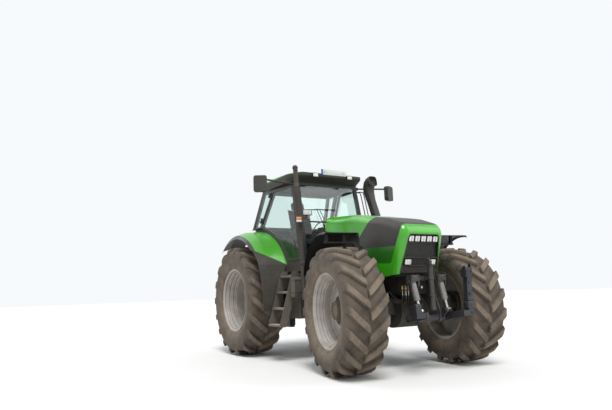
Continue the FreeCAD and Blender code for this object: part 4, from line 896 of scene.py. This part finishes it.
def make_seat():
    lean = atan2(0.165, 0.640)
    # Name, node, size, turn about Y, crown, seams (across which share, and where), fill
    for name, node, size, turn, crown, seams, fill in (
        ("seat_pad", "seat_cushion", (0.515, 0.505, 0.100), radians(-1.5), 0.012,
         (("v", -0.28), ("v", 0.28), ("u", 0.12)), 0.7),
        ("seat_back_pad", "seat_back", (0.640, 0.470, 0.085), -(pi / 2 + lean), 0.010,
         (("v", -0.27), ("v", 0.27), ("u", 0.18)), 0.65),
    ):
        low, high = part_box(node)
        place = Matrix.Translation((low + high) / 2) @ Matrix.Rotation(turn, 4, "Y")
        cushion(name, node, place, size, crown, seams)


def make_mirror_glass():
    """A glass on the rear face of each mirror's head."""
    material = mirror_glass()
    for side, name in SIDES:
        bm = bmesh.new()
        soft_box(bm, (-0.0395, -0.094, -0.119), (-0.036, 0.094, 0.119), 0.0015)
        turn = Matrix.Rotation(radians(side * 26.8), 4, "Z")
        spot = at(MIRROR_X, side * 1.326, 2.842)
        place = Matrix.Translation(spot) @ turn @ Matrix.Translation((-0.004, 0, 0))
        piece("mirror_glass_" + name, bm, "dark_plastic", material, place=place)


def make_plate():
    """A blank plate with a blue end band, on two brackets at the front of the roof."""
    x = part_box("roof_liner")[1].x + 0.002
    low, high = 3.062, 3.160
    # Name, material, its two ends across, thickness
    for name, material, left, right, thickness in (
        ("roof_plate", PLATE_WHITE, -0.190, 0.292, 0.006),
        ("roof_plate_band", PLATE_BLUE, -0.228, -0.188, 0.007),
    ):
        bm = bmesh.new()
        soft_box(bm, (x, left, low), (x + thickness, right, high), 0.002)
        piece(name, bm, "lamp_glass", material)
    bm = bmesh.new()
    for y in (-0.16, 0.22):
        soft_box(bm, (x - 0.050, y - 0.015, 3.085), (x + 0.001, y + 0.015, 3.091), 0.002)
        soft_box(bm, (x - 0.004, y - 0.015, 3.070), (x + 0.0005, y + 0.015, 3.150), 0.0015)
        bolt(bm, (x + 0.006, y, 3.110), (1, 0, 0), 0.006, 0.005)
    piece("roof_plate_brackets", bm, "dark_plastic")


def facing(spot, out):
    """A matrix whose X points outwards from a spot, with Z upright."""
    out = Vector(out).normalized()
    side = Vector((0, 0, 1)).cross(out).normalized()
    turn = Matrix((out, side, out.cross(side))).transposed().to_4x4()
    return Matrix.Translation(spot) @ turn


def add_work_lamp(housings, lenses, spot, out, half_width, half_height, depth):
    """A square lamp: a finned housing, a frame and a glass a little in front of it."""
    place = facing(spot, out)
    w, h = half_width, half_height
    soft_box(housings, (-depth, -w, -h), (-0.006, w, h), min(0.012, 0.4 * depth), 3, place)
    for share in (-0.5, 0.0, 0.5):
        low = (-depth - 0.006, share * w - 0.003, -0.7 * h)
        high = (-depth + 0.004, share * w + 0.003, 0.7 * h)
        soft_box(housings, low, high, 0.001, 1, place)
    corners = [Vector((-0.006, a * w * 0.93, b * h * 0.93)) for a, b in CORNERS]
    edge = bmesh.new()
    strip(edge, rounded_loop(corners, 0.010), 0.008, 0.008, (1, 0, 0), True)
    merge(housings, edge, place)
    soft_box(lenses, (-0.010, -0.88 * w, -0.88 * h), (-0.001, 0.88 * w, 0.88 * h), 0.004, 2, place)


def make_work_lamps():
    """Four lamps on the roof, the marker lamp beside the exhaust and the lamp on the front post."""
    housings, lenses, amber = bmesh.new(), bmesh.new(), bmesh.new()
    rear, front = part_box("roof_liner")
    for side, _ in SIDES:
        spot = (front.x + 0.025, side * 0.350, ROOF_BRIM - 0.037)
        add_work_lamp(housings, lenses, spot, (1, 0, 0), 0.055, 0.035, 0.025)
        spot = (rear.x - 0.025, side * 0.400, ROOF_BRIM - 0.070)
        add_work_lamp(housings, lenses, spot, (-1, 0, 0), 0.055, 0.030, 0.025)
    # The lamp in front of the right front post, on a bent arm
    spot = at(1.600, -0.604, 2.366)
    add_work_lamp(housings, lenses, spot, (1, -0.12, -0.03), 0.084, 0.046, 0.070)
    post = spot_on_side(1.405, 2.28, -0.03)
    elbow = spot + Vector((-0.045, -0.010, -0.075))
    rod(housings, (post.x, -post.y, 2.28), elbow, 0.010, 12)
    rod(housings, elbow, spot + Vector((-0.045, 0, 0)), 0.012, 12)
    # Marker lamp: dark body, white glass with an amber top half, on a plate beside the pipe
    centre = at(1.905, -0.935, 2.197)
    marker = facing(centre, (1, -0.35, 0))
    soft_box(housings, (-0.070, -0.038, -0.036), (-0.014, 0.038, 0.036), 0.010, 3, marker)
    soft_box(lenses, (-0.024, -0.040, -0.040), (-0.001, 0.040, -0.008), 0.007, 3, marker)
    soft_box(amber, (-0.024, -0.040, -0.006), (-0.001, 0.040, 0.042), 0.007, 3, marker)
    for start, end in (
        (MARKER_LAMP + Vector((-0.025, 0.03, -0.02)), centre + Vector((-0.05, 0.01, -0.01))),
        (centre + Vector((-0.05, 0.02, -0.02)), at(1.872, -0.770, 2.176)),
        (at(1.868, -0.775, 2.176), at(1.850, -0.400, 2.176)),
    ):
        rod(housings, start, end, 0.013, 12, 0.003)
    cheek = ((1.872, -0.900, 2.190), (1.882, -0.800, 2.205), (1.892, -0.730, 2.150), (1.902, -0.800, 2.140))
    soft_plate(housings, [at(*point) for point in cheek], 0.008, 0.012)
    piece("work_lamp_housings", housings, "dark_plastic", stands_for="work_lamps")
    piece("work_lamp_lenses", lenses, "lamp_glass", stands_for="work_lamps")
    piece("marker_lamp_amber", amber, "lamp_glass", AMBER)


# The left half of the roof's outline: x from the rear axle, y, radius of the corner
ROOF_CORNERS = ((1.460, 0.610, 0.066), (1.180, 0.750, 0.120), (0.320, 0.750, 0.072), (0.060, 0.600, 0.072))
# The lining's rings: height, how far the front is drawn in, how far the sides are
LINING_RINGS = (
    (3.080, 0.0, 0.0), (3.062, 0.0, 0.0), (3.030, 0.004, 0.001), (3.018, 0.018, 0.004), (2.998, 0.075, 0.010),
    (2.972, 0.125, 0.016), (2.950, 0.150, 0.022), (2.945, 0.156, 0.026),
)


def make_roof_lining():
    """The dark visor under the roof: a thin brim in front, drawn in towards the cab below it."""
    corners = ROOF_CORNERS + tuple((x, -y, radius) for x, y, radius in reversed(ROOF_CORNERS))
    plan = rounded_loop([at(x, y, 0) for x, y, _ in corners], tuple(radius for _, _, radius in corners), 6)
    bm = bmesh.new()
    loops = []
    for z, front, sides in LINING_RINGS:
        loop = []
        for point in plan:
            share = max(0.0, (point.x - REAR_AXLE_X - 1.0) / 0.46)
            loop.append(Vector((point.x - front * share, point.y * (1 - sides / 0.75), z)))
        loops.append(loop)
    skin(bm, loops)
    # Covers of the air vents
    for index in range(-2, 3):
        y = index * 0.17
        soft_box(bm, at(1.305, y - 0.070, 2.9425), at(1.330, y + 0.070, 2.952), 0.003)
    piece("roof_lining", bm, "dark_plastic", LINER, stands_for="roof_liner", sharp=40)


# Stacks

INTAKE_Y = 0.690
INTAKE_WAY = Vector((-0.374, 0, 0.927)).normalized()
INTAKE_HALVES = (0.063, 0.069)
# The duct's stations: x from the rear axle, z, direction x and z, half width, half depth
INTAKE_STATIONS = (
    (2.045, 1.590, -0.374, 0.927, 0.063, 0.069), (1.625, 2.632, -0.374, 0.927, 0.063, 0.069),
    (1.618, 2.650, -0.374, 0.927, 0.067, 0.074), (1.590, 2.735, -0.340, 0.940, 0.072, 0.078),
    (1.572, 2.815, -0.150, 0.990, 0.079, 0.086), (1.575, 2.880, 0.150, 0.990, 0.083, 0.090),
    (1.598, 2.930, 0.520, 0.855, 0.084, 0.094), (1.640, 2.956, 0.820, 0.572, 0.084, 0.096),
    (1.690, 2.966, 0.960, 0.280, 0.084, 0.094), (1.712, 2.968, 0.980, 0.200, 0.083, 0.090),
    (1.711, 2.968, 0.980, 0.200, 0.077, 0.083), (1.670, 2.960, 0.900, 0.436, 0.074, 0.080),
)


def ring_points(centre, way, half_width, half_depth):
    """A rounded rectangle across the duct's way; its width lies along Y."""
    across = Vector((0, 1, 0))
    ahead = across.cross(way).normalized()
    points = []
    for angle in around(28):
        a, b = (abs(part) ** 0.5 * (1 if part > 0 else -1) for part in (cos(angle), sin(angle)))
        points.append(centre + across * (a * half_width) + ahead * (b * half_depth))
    return points


def make_intake():
    """The air duct on the left, whose head bends forwards into an open mouth with a screen."""
    bm = bmesh.new()
    skin(bm, [
        ring_points(at(x, INTAKE_Y, z), Vector((dx, 0, dz)).normalized(), half_width, half_depth)
        for x, z, dx, dz, half_width, half_depth in INTAKE_STATIONS
    ])
    soft_box(bm, at(1.956, 0.271, 1.501), at(2.119, 0.764, 1.639), 0.020, 3)
    # Two clamps about the straight length: place along the duct, then step and how far it stands out
    for share in (0.18, 0.52):
        spot = at(2.045 - share * 0.42, INTAKE_Y, 1.59 + share * 1.042)
        skin(bm, [
            ring_points(spot + INTAKE_WAY * step, INTAKE_WAY, *(half + out for half in INTAKE_HALVES))
            for step, out in ((-0.014, -0.002), (-0.012, 0.003), (0.012, 0.003), (0.014, -0.002))
        ])
    piece("intake_duct", bm, "dark_plastic", stands_for="intake_stack", sharp=40)
    screen = bmesh.new()
    for index in range(7):
        z = 2.902 + index * 0.022
        rod(screen, at(1.700, INTAKE_Y - 0.070, z), at(1.700, INTAKE_Y + 0.070, z), 0.0025, 8, 0.0005)
    piece("intake_screen", screen, "black_paint")


def make_exhaust():
    """The pipe with its slotted heat shield, clamps and the ball at its top."""
    line = STACK_TOP - STACK_FOOT
    way = line.normalized()
    side = Vector((0, 1, 0))
    ahead = side.cross(way).normalized()
    tube = bmesh.new()
    drop_x = STACK_FOOT.x + 0.012
    elbow = Vector((drop_x, STACK_Y, 1.440))
    # Start, end, radius, sides, edge and the radius at the end: shield, collar, tip, drop and branch
    for start, end, *sizes in (
        (STACK_FOOT, STACK_FOOT + line * 0.80, SHIELD_RADIUS, 36, 0.004),
        (STACK_FOOT + line * 0.795, STACK_FOOT + line * 0.835, 0.047, 36, 0.002, 0.037),
        (STACK_FOOT + line * 0.83, STACK_TOP, 0.037, 36, 0.003),
        (Vector((drop_x, STACK_Y, 0.950)), STACK_FOOT + line * 0.01, 0.040, 30, 0.010),
        (elbow, Vector((drop_x, -0.272, elbow.z)), 0.043, 30, 0.010),
    ):
        rod(tube, start, end, *sizes)
    piece("exhaust_pipe", tube, "pipe_steel", stands_for="exhaust", sharp=40)
    ball = bmesh.new()
    arc = [(-0.046 * cos(pi * step / 12), max(0.046 * sin(pi * step / 12), 0.0)) for step in range(13)]
    lathe_capped(ball, arc, 32)
    place = along(STACK_TOP + Vector((-0.004, 0, 0.004)), STACK_TOP + line)
    bmesh.ops.transform(ball, matrix=place, verts=ball.verts)
    rod(ball, STACK_TOP - way * 0.055, STACK_TOP - way * 0.040, 0.041, 30, 0.003)
    piece("exhaust_ball", ball, "pipe_steel", GUARD_BLACK)
    # Painted shade: each slot is a flat near-black mark on the shield, for the shaded opening into it
    slots = bmesh.new()
    for row in range(22):
        centre = STACK_FOOT + line * (0.05 + row * 0.0325)
        for angle in around(16):
            angle += pi / 16 * (row % 2)
            out = side * cos(angle) + ahead * sin(angle)
            spot = centre + out * (SHIELD_RADIUS + 0.0004)
            across = way.cross(out)
            loop = [spot + across * (a * 0.0032) + way * (b * 0.014) for a, b in CORNERS]
            slots.faces.new([slots.verts.new(point) for point in rounded_loop(loop, 0.003, 2)])
    piece("exhaust_slots", slots, "pipe_steel", SLOT_SHADE)
    clamps = bmesh.new()
    for share in (0.012, 0.785):
        start = STACK_FOOT + line * share
        middle = start + way * 0.011
        rod(clamps, start, start + way * 0.022, SHIELD_RADIUS + 0.0035, 32, 0.003)
        rod(clamps, middle + side * 0.045, middle + side * 0.068, 0.006, 10)
    bracket = STACK_FOOT + line * 0.45
    corner = Vector((0.020, 0, 0.025))
    low, high = bracket - corner, bracket + corner
    soft_box(clamps, (low.x, STACK_Y + 0.040, low.z), (high.x, -0.665, high.z), 0.004)
    piece("exhaust_clamps", clamps, "pipe_steel")


# Wiper and door handles


def on_screen(y, z, out):
    """A point in front of the windscreen, which leans back."""
    return at(1.529 - (z - SILL_Z) * 0.1948 + out, y, z)


def make_wiper():
    """The windscreen's wiper with its two parallel arms, parked across the glass."""
    bm = bmesh.new()
    for dy in (-0.190, -0.130):
        rod(bm, on_screen(dy, 2.14, 0.012), on_screen(dy, 2.14, 0.045), 0.013, 16)
        rod(bm, on_screen(dy, 2.14, 0.040), on_screen(dy - 0.11, 2.46, 0.034), 0.006, 10)
    rod(bm, on_screen(-0.31, 2.465, 0.034), on_screen(-0.23, 2.455, 0.034), 0.008, 10)
    blade = [on_screen(-0.56, 2.44, 0.012), on_screen(-0.28, 2.46, 0.015), on_screen(0.10, 2.47, 0.012)]
    strip(bm, blade, 0.014, 0.014, (1, 0, 0.19))
    piece("wiper", bm, "dark_plastic")


def make_door_handles():
    """A pull handle on two feet near each door's front edge."""
    for side, name in SIDES:
        bm = bmesh.new()
        for z in (1.78, 1.90):
            foot = spot_on_side(1.415 - (z - SILL_Z) * 0.20, z, 0.004)
            rod(bm, foot, foot + SIDE_OUT * 0.034, 0.008, 12)
        ends = [spot_on_side(1.415 - (z - SILL_Z) * 0.20, z, 0.036) for z in (1.75, 1.93)]
        rod(bm, *ends, 0.011, 14, 0.005)
        if side < 0:
            on_other_side(bm)
        piece("door_handle_" + name, bm, "dark_plastic", body="door_leaf_" + name)


# Front end


def by_shaft(x, y, z):
    """A point whose X is measured from the front lift's shaft."""
    return at(x + FRONT_SHAFT_X, y, z)


def cheek_plate(bm, y_low, y_high, corners, radius=0.010):
    """A flat plate across Y from points (x, z), with x ahead of the lift's shaft."""
    soft_plate(bm, [by_shaft(x, y_low, z) for x, z in corners], y_high - y_low, radius)


def make_hitch_trim():
    """Bolts, cover plates and pin caps of the cheeks, and the parts of the stowed top link."""
    bm = bmesh.new()
    for side, _ in SIDES:
        out = Vector((0, side, 0))
        for x, z in ((-0.300, 1.060), (-0.300, 1.190), (-0.180, 1.215), (-0.170, 1.060), (-0.060, 1.225)):
            bolt(bm, by_shaft(x, side * 0.185, z), out, 0.014, 0.014)
        # Caps of the shaft and of the cylinders' upper pins
        for x, y, z, radius in ((0.000, 0.185, 0.700, 0.058), (0.015, 0.305, 1.170, 0.026)):
            spot = by_shaft(x, side * y, z)
            rod(bm, spot, spot + out * 0.008, radius, 28, 0.002)
        soft_box(bm, by_shaft(0.060, side * 0.168, 1.178), by_shaft(0.068, side * 0.303, 1.258), 0.003)
        for y in (0.185, 0.286):
            bolt(bm, by_shaft(0.068, side * y, 1.240), (1, 0, 0), 0.009, 0.009)
        spot = by_shaft(0.068, side * 0.236, 1.208)
        rod(bm, spot, spot + Vector((0.004, 0, 0)), 0.017, 20, 0.001)
    # The stowed top link: collars (share of its length, radius, length), hook and handle
    foot, head = by_shaft(0.110, 0, 0.800), by_shaft(0.098, 0, 1.400)
    line = head - foot
    for share, radius, length in (
        (0.02, 0.042, 0.030), (0.30, 0.044, 0.026), (0.66, 0.044, 0.026), (0.95, 0.042, 0.028),
    ):
        start = foot + line * share
        rod(bm, start, start + line.normalized() * length, radius, 24, 0.003)
    hook = ((0.060, 1.385), (0.150, 1.385), (0.165, 1.440), (0.120, 1.478), (0.070, 1.462), (0.050, 1.420))
    cheek_plate(bm, -0.020, 0.020, hook, 0.016)
    rod(bm, head + Vector((0, 0.035, -0.22)), head + Vector((0.02, 0.075, -0.06)), 0.006, 10)
    piece("hitch_trim", bm, "black_paint")


def make_lift_trim():
    """The left arm's hook and joint, and the bolts of both arms."""
    bm = bmesh.new()
    y = 0.450
    soft_box(bm, by_shaft(0.272, y - 0.050, 1.288), by_shaft(0.356, y + 0.050, 1.342), 0.008, 3)
    for low, top in ((-0.056, 1.362), (0.040, 1.396)):
        hook = (
            (0.262, 1.210), (0.352, 1.210), (0.360, 1.300), (0.352, top), (0.318, top), (0.300, 1.345),
            (0.258, 1.300),
        )
        cheek_plate(bm, y + low, y + low + 0.016, hook)
    rod(bm, by_shaft(0.312, y - 0.060, 1.262), by_shaft(0.312, y + 0.062, 1.262), 0.016, 20, 0.002)
    soft_box(bm, by_shaft(0.254, y - 0.056, 0.800), by_shaft(0.344, y + 0.056, 0.905), 0.010, 3)
    soft_box(bm, by_shaft(0.260, y - 0.050, 0.905), by_shaft(0.342, y + 0.050, 0.960), 0.010, 3)
    for x, z in ((0.345, 0.760), (0.338, 0.850), (0.338, 1.000), (0.338, 1.150), (0.338, 1.270)):
        bolt(bm, by_shaft(x, y, z), (1, 0, 0), 0.014, 0.012)
    for side, _ in SIDES:
        out = Vector((0, side, 0))
        for z in (0.830, 0.880):
            bolt(bm, by_shaft(0.300, y + side * 0.055, z), out, 0.011, 0.010)
        spot = by_shaft(0, side * 0.334, 0.700)
        rod(bm, spot, spot + out * 0.008, 0.052, 28, 0.003)
        bolt(bm, spot + out * 0.008, out, 0.018, 0.014)
        for near, far in ((0.186, 0.194), (0.290, 0.298)):
            rod(bm, by_shaft(0.120, side * near, 0.800), by_shaft(0.120, side * far, 0.800), 0.022, 20, 0.002)
        soft_box(bm, by_shaft(0.255, side * 0.326, 0.715), by_shaft(0.352, side * 0.345, 0.797), 0.006)
    piece("lift_trim", bm, "black_paint", BLUE_BLACK, "front_lift")


COUPLER_X = 3.500


def make_couplers():
    """Four hydraulic couplers with their plugs on the right cheek, and three hoses behind them."""
    bracket, brass, pins = bmesh.new(), bmesh.new(), bmesh.new()
    soft_box(bracket, at(COUPLER_X - 0.070, -0.300, 1.060), at(COUPLER_X + 0.070, -0.184, 1.070), 0.003)
    up = Vector((0, 0, 1))
    for dx, y in ((-0.035, -0.262), (0.035, -0.262), (-0.035, -0.218), (0.035, -0.218)):
        base = at(COUPLER_X + dx, y, 1.070)
        rod(brass, base, base + up * 0.052, 0.016, 16, 0.002)
        rod(brass, base + up * 0.012, base + up * 0.030, 0.019, 6, 0.002)
        rod(pins, base - up * 0.075, base, 0.009, 12, 0.001)
        rod(bracket, base + up * 0.052, base + up * 0.066, 0.017, 16, 0.003)
    disc = at(3.620, -0.186, 1.112)
    rod(brass, disc, disc - Vector((0, 0.020, 0)), 0.026, 20, 0.003)
    piece("coupler_bracket", bracket, "black_paint")
    piece("couplers", brass, "black_paint", BRASS)
    piece("coupler_plugs", pins, "bright_steel")
    for index, (dx, y) in enumerate(((-0.035, -0.262), (0.035, -0.262), (0.035, -0.218))):
        start = at(COUPLER_X + dx, y, 0.998)
        route = (
            (0, 0, 0), (0, 0, -0.05), (-0.06, 0.01, -0.11), (-0.20, 0.02, -0.10), (-0.34, 0.03, 0),
            (-0.44, -y - 0.180, 0.06),
        )
        pipe(f"front_hose_{index}", [start + Vector(step) for step in route], 0.010, HOSE)


def make_engine_trim():
    """Ribs on the engine's sides, its covers, an oil filter and two hoses between engine and radiator."""
    bm = bmesh.new()
    for side, _ in SIDES:
        for index in range(5):
            x = 1.90 + 0.22 * index
            soft_box(bm, at(x, side * 0.268, 0.96), at(x + 0.030, side * 0.284, 1.56), 0.006)
        soft_box(bm, at(1.80, side * 0.262, 1.555), at(2.93, side * 0.292, 1.635), 0.010)
        soft_box(bm, at(1.85, side * 0.262, 0.985), at(2.90, side * 0.292, 1.020), 0.008)
    for x in (2.05, 2.28, 2.51, 2.74):
        soft_box(bm, at(x - 0.09, -0.18, 1.630), at(x + 0.09, 0.18, 1.690), 0.025, 3)
    rod(bm, at(2.60, -0.320, 1.12), at(2.60, -0.320, 1.32), 0.048, 24, 0.010)
    soft_box(bm, at(2.57, -0.320, 1.27), at(2.63, -0.262, 1.33), 0.008)
    piece("engine_trim", bm, "cast_green")
    for (side, name), z in zip(SIDES, (1.58, 1.36)):
        route = ((0, 0, 0), (0.05, 0, 0), (0.10, side * 0.02, 0.03), (0.142, side * 0.02, 0.04))
        start = at(2.955, side * 0.20, z)
        pipe("coolant_hose_" + name, [start + Vector(step) for step in route], 0.024, HOSE)


# Steps and sides

STEP_BACK, STEP_FRONT = 1.211, 1.585
# The steps from the lowest up: height, inner and outer edge
STEPS = ((0.580, 1.026, 1.161), (0.833, 0.941, 1.084), (1.085, 0.881, 1.009), (1.335, 0.811, 0.934))


def make_step_trim():
    """Pale tread plates with a lip at the outer edge and rows of punched teeth."""
    for side, name in SIDES:
        plates, teeth = bmesh.new(), bmesh.new()
        for z, near, far in STEPS:
            soft_box(plates, at(STEP_BACK, side * near, z), at(STEP_FRONT, side * far, z + 0.004), 0.0015, 1)
            lip = side * (far - 0.006)
            soft_box(plates, at(STEP_BACK, lip, z - 0.022), at(STEP_FRONT, side * far, z + 0.002), 0.0015, 1)
            for share in (0.25, 0.50, 0.75):
                y = side * (near + (far - near) * share)
                for index in range(11):
                    x = 1.235 + 0.0325 * index
                    rod(teeth, at(x, y, z + 0.003), at(x, y, z + 0.008), 0.008, 10, 0.001, 0.006)
        piece("tread_plates_" + name, plates, "step_metal", TREAD_METAL)
        piece("tread_teeth_" + name, teeth, "step_metal", TREAD_METAL)


def make_side_trim():
    """Straps on the tanks, and straps and a bolt on the side boxes."""
    bm = bmesh.new()
    for side, _ in SIDES:
        for x in (1.255, 1.545):
            soft_box(bm, at(x - 0.018, side * 0.796, 0.69), at(x + 0.018, side * 0.806, 1.345), 0.003)
        for z in (1.06, 1.25):
            soft_box(bm, at(1.645, side * 0.690, z), at(1.793, side * 0.984, z + 0.022), 0.004)
        bolt(bm, at(1.793, side * 0.84, 1.155), (1, 0, 0), 0.014, 0.012)
    piece("side_straps", bm, "black_paint")


# Cab trim

# The corners of a door's glass: x from the rear axle, z
DOOR_GLASS = ((1.490, 1.590), (1.222, 2.890), (0.575, 2.905), (0.178, 2.282))


def make_door_seals():
    """A seal inside the edge of each door's glass."""
    for side, name in SIDES:
        seal = bmesh.new()
        loop = [spot_on_side(x, z, 0.0065) for x, z in DOOR_GLASS]
        middle = sum(loop, Vector()) / len(loop)
        inner = [point + (middle - point).normalized() * 0.052 for point in loop]
        strip(seal, inner[::-1], 0.008, 0.004, SIDE_OUT)
        if side < 0:
            on_other_side(seal)
        piece("door_seal_" + name, seal, "dark_plastic", body="door_leaf_" + name)


def make_mirror_joints():
    """Round joints at the root, the middle and the tip of each mirror's arm."""
    bm = bmesh.new()
    for side, _ in SIDES:
        root = spot_on_side(1.262, 2.898, -0.018)
        root.y *= side
        tip = at(MIRROR_X, side * 1.240, 2.924)
        # Start, reach outwards, rise, radius, sides, edge
        for start, reach, rise, *sizes in (
            (root, 0.034, 0.002, 0.030, 24, 0.005), (tip, 0.050, 0.0, 0.024, 20, 0.004),
            (root.lerp(tip, 0.35), 0.040, 0.002, 0.020, 16, 0.003),
        ):
            rod(bm, start, start + Vector((0, side * reach, rise)), *sizes)
    piece("mirror_joints", bm, "dark_plastic")


def make_grab_rails():
    """Two upright rails outside the left front post."""
    rail_y = 0.765
    top, foot = at(1.262, rail_y, 2.830), at(1.478, rail_y, 2.000)
    bends = (top + Vector((0, -0.02, 0.01)), top, top.lerp(foot, 0.5), foot, foot + Vector((0, -0.02, -0.01)))
    for index, ahead in enumerate((-0.045, 0.045)):
        shifted = [point + Vector((ahead, 0, 0)) for point in bends]
        route = [spot_on_side(1.262, 2.84, -0.03), *shifted, spot_on_side(1.475, 1.985, -0.03)]
        pipe(f"grab_rail_left_{index}", route, 0.009, finishes["black_paint"])


def make_seat_trim():
    """Armrests and headrest of the seat, and the levers on the console."""
    bm = bmesh.new()
    for side, _ in SIDES:
        soft_box(bm, at(0.370, side * 0.262, 2.150), at(0.700, side * 0.318, 2.195), 0.018, 4)
        rod(bm, at(0.360, side * 0.236, 2.165), at(0.400, side * 0.285, 2.165), 0.016, 12)
    rest = Matrix.Translation(at(0.172, 0, 2.700)) @ Matrix.Rotation(radians(-14), 4, "Y")
    soft_box(bm, (-0.045, -0.130, -0.075), (0.045, 0.130, 0.075), 0.035, 5, rest)
    for y in (-0.06, 0.06):
        rod(bm, at(0.205, y, 2.600), at(0.180, y, 2.660), 0.007, 10)
    piece("seat_rests", bm, "seat_fabric")
    levers = bmesh.new()
    for x, y, lean in ((0.80, -0.400, 0.03), (0.72, -0.450, 0.02), (0.64, -0.400, 0.01)):
        foot = at(x, y, 2.048)
        tip = foot + Vector((lean, 0, 0.085))
        rod(levers, foot, tip, 0.005, 8)
        rod(levers, tip - Vector((0, 0, 0.005)), tip + Vector((0, 0, 0.030)), 0.013, 14, 0.006)
    piece("console_levers", levers, "dark_plastic")


def make_tail_lamps():
    """Red and amber lamps on the cab's rear wall, under the window."""
    red, amber, back = bmesh.new(), bmesh.new(), bmesh.new()
    for side, _ in SIDES:
        # Mesh, behind and ahead, inner and outer edge, bottom and top, rounding
        for bm, behind, ahead, inner, outer, low, high, radius in (
            (back, -0.280, -0.249, 0.430, 0.690, 2.040, 2.140, 0.008),
            (red, -0.290, -0.274, 0.440, 0.590, 2.050, 2.130, 0.006),
            (amber, -0.290, -0.274, 0.596, 0.680, 2.050, 2.130, 0.006),
        ):
            soft_box(bm, at(behind, side * inner, low), at(ahead, side * outer, high), radius, 3)
    piece("tail_lamp_bodies", back, "dark_plastic")
    piece("tail_lamps_red", red, "lamp_glass", RED)
    piece("tail_lamps_amber", amber, "lamp_glass", AMBER)


def make_rear_sill():
    """The sloping panel under the rear window, the shelf inside the cab and the rear wall's ribs."""
    bm = bmesh.new()
    section = ((-0.248, 2.165), (-0.160, 2.268), (-0.148, 2.258), (-0.236, 2.155))
    skin(bm, [[at(x, y, z) for x, z in section] for y in (-0.731, 0.731)])
    soft_box(bm, at(-0.236, -0.620, 2.140), at(0.120, 0.620, 2.150), 0.003)
    for y in (-0.45, 0.0, 0.45):
        soft_box(bm, at(-0.256, y - 0.004, 1.600), at(-0.248, y + 0.004, 2.140), 0.002, 1)
    piece("rear_sill", bm, "cab_grey")


# Camera, floor and light


def make_camera():
    yaw, pitch, roll = radians(CAMERA_YAW), radians(CAMERA_PITCH), radians(CAMERA_ROLL)
    ahead = Vector((cos(yaw) * cos(pitch), sin(yaw) * cos(pitch), sin(pitch)))
    right = ahead.cross(Vector((0, 0, 1))).normalized()
    up = right.cross(ahead)
    rolled_right = right * cos(roll) + up * sin(roll)
    rolled_up = up * cos(roll) - right * sin(roll)
    turn = Matrix((rolled_right, rolled_up, -ahead)).transposed().to_4x4()
    data = bpy.data.cameras.new("camera")
    data.lens = CAMERA_LENS
    data.sensor_width = 36
    data.clip_end = 400
    camera = add_object("camera", data)
    camera.matrix_world = Matrix.Translation(CAMERA_SPOT) @ turn
    bpy.context.scene.camera = camera


def make_floor():
    finish = Finish("floor", 0.85)
    finish.colour(finish.mix(finish.noise(0.8), (0.74, 0.73, 0.70), (0.80, 0.79, 0.76)))
    bm = bmesh.new()
    lathe_capped(bm, [(-0.02, 0), (-0.02, 60), (0, 60), (0, 0)], 64)
    mesh = bpy.data.meshes.new("floor")
    bm.to_mesh(mesh)
    bm.free()
    mesh.materials.append(finish.material)
    floor = add_object("floor", mesh)
    floor.location.z = -0.0005


def make_sky():
    """A pale even sky where it is seen, and a bluer, weaker one where it only gives light."""
    world = bpy.data.worlds.new("sky")
    bpy.context.scene.world = world
    world.use_nodes = True
    tree = world.node_tree
    giving = tree.nodes["Background"]
    shown = tree.nodes.new("ShaderNodeBackground")
    for background, colour, strength in (
        (giving, (0.86, 0.92, 1.0, 1), 0.62), (shown, (0.93, 0.95, 0.97, 1), 1.0),
    ):
        background.inputs["Color"].default_value = colour
        background.inputs["Strength"].default_value = strength
    path = tree.nodes.new("ShaderNodeLightPath")
    seen = path.outputs["Is Camera Ray"]
    for ray in ("Is Transmission Ray", "Is Glossy Ray"):
        either = tree.nodes.new("ShaderNodeMath")
        either.operation = "MAXIMUM"
        tree.links.new(seen, either.inputs[0])
        tree.links.new(path.outputs[ray], either.inputs[1])
        seen = either.outputs[0]
    mix = tree.nodes.new("ShaderNodeMixShader")
    for socket, source in zip(mix.inputs, (seen, giving.outputs[0], shown.outputs[0])):
        tree.links.new(source, socket)
    tree.links.new(mix.outputs[0], tree.nodes["World Output"].inputs["Surface"])


def make_lights():
    # Name, strength, spread in degrees, direction from which it shines
    for name, strength, spread, source in (
        ("key", 2.6, 24, (5, -2.5, 9)), ("fill", 0.7, 40, (4, 6, 4)), ("back", 0.6, 40, (-6, -3, 5)),
    ):
        data = bpy.data.lights.new(name, "SUN")
        data.energy = strength
        data.angle = radians(spread)
        lamp = add_object(name, data)
        lamp.rotation_mode = "QUATERNION"
        lamp.rotation_quaternion = Vector(source).to_track_quat("Z", "Y")


for make in (
    make_wheels, make_grille_bars, make_mouth_trim, make_headlamps, make_steering_wheel, make_seat,
    make_mirror_glass, make_plate, make_work_lamps, make_roof_lining, make_intake, make_exhaust, make_wiper,
    make_door_handles, make_hitch_trim, make_lift_trim, make_couplers, make_engine_trim, make_step_trim,
    make_side_trim, make_door_seals, make_mirror_joints, make_grab_rails, make_seat_trim, make_tail_lamps,
    make_rear_sill, make_camera, make_floor, make_sky, make_lights,
):
    make()

bpy.context.scene.view_settings.view_transform = "Standard"
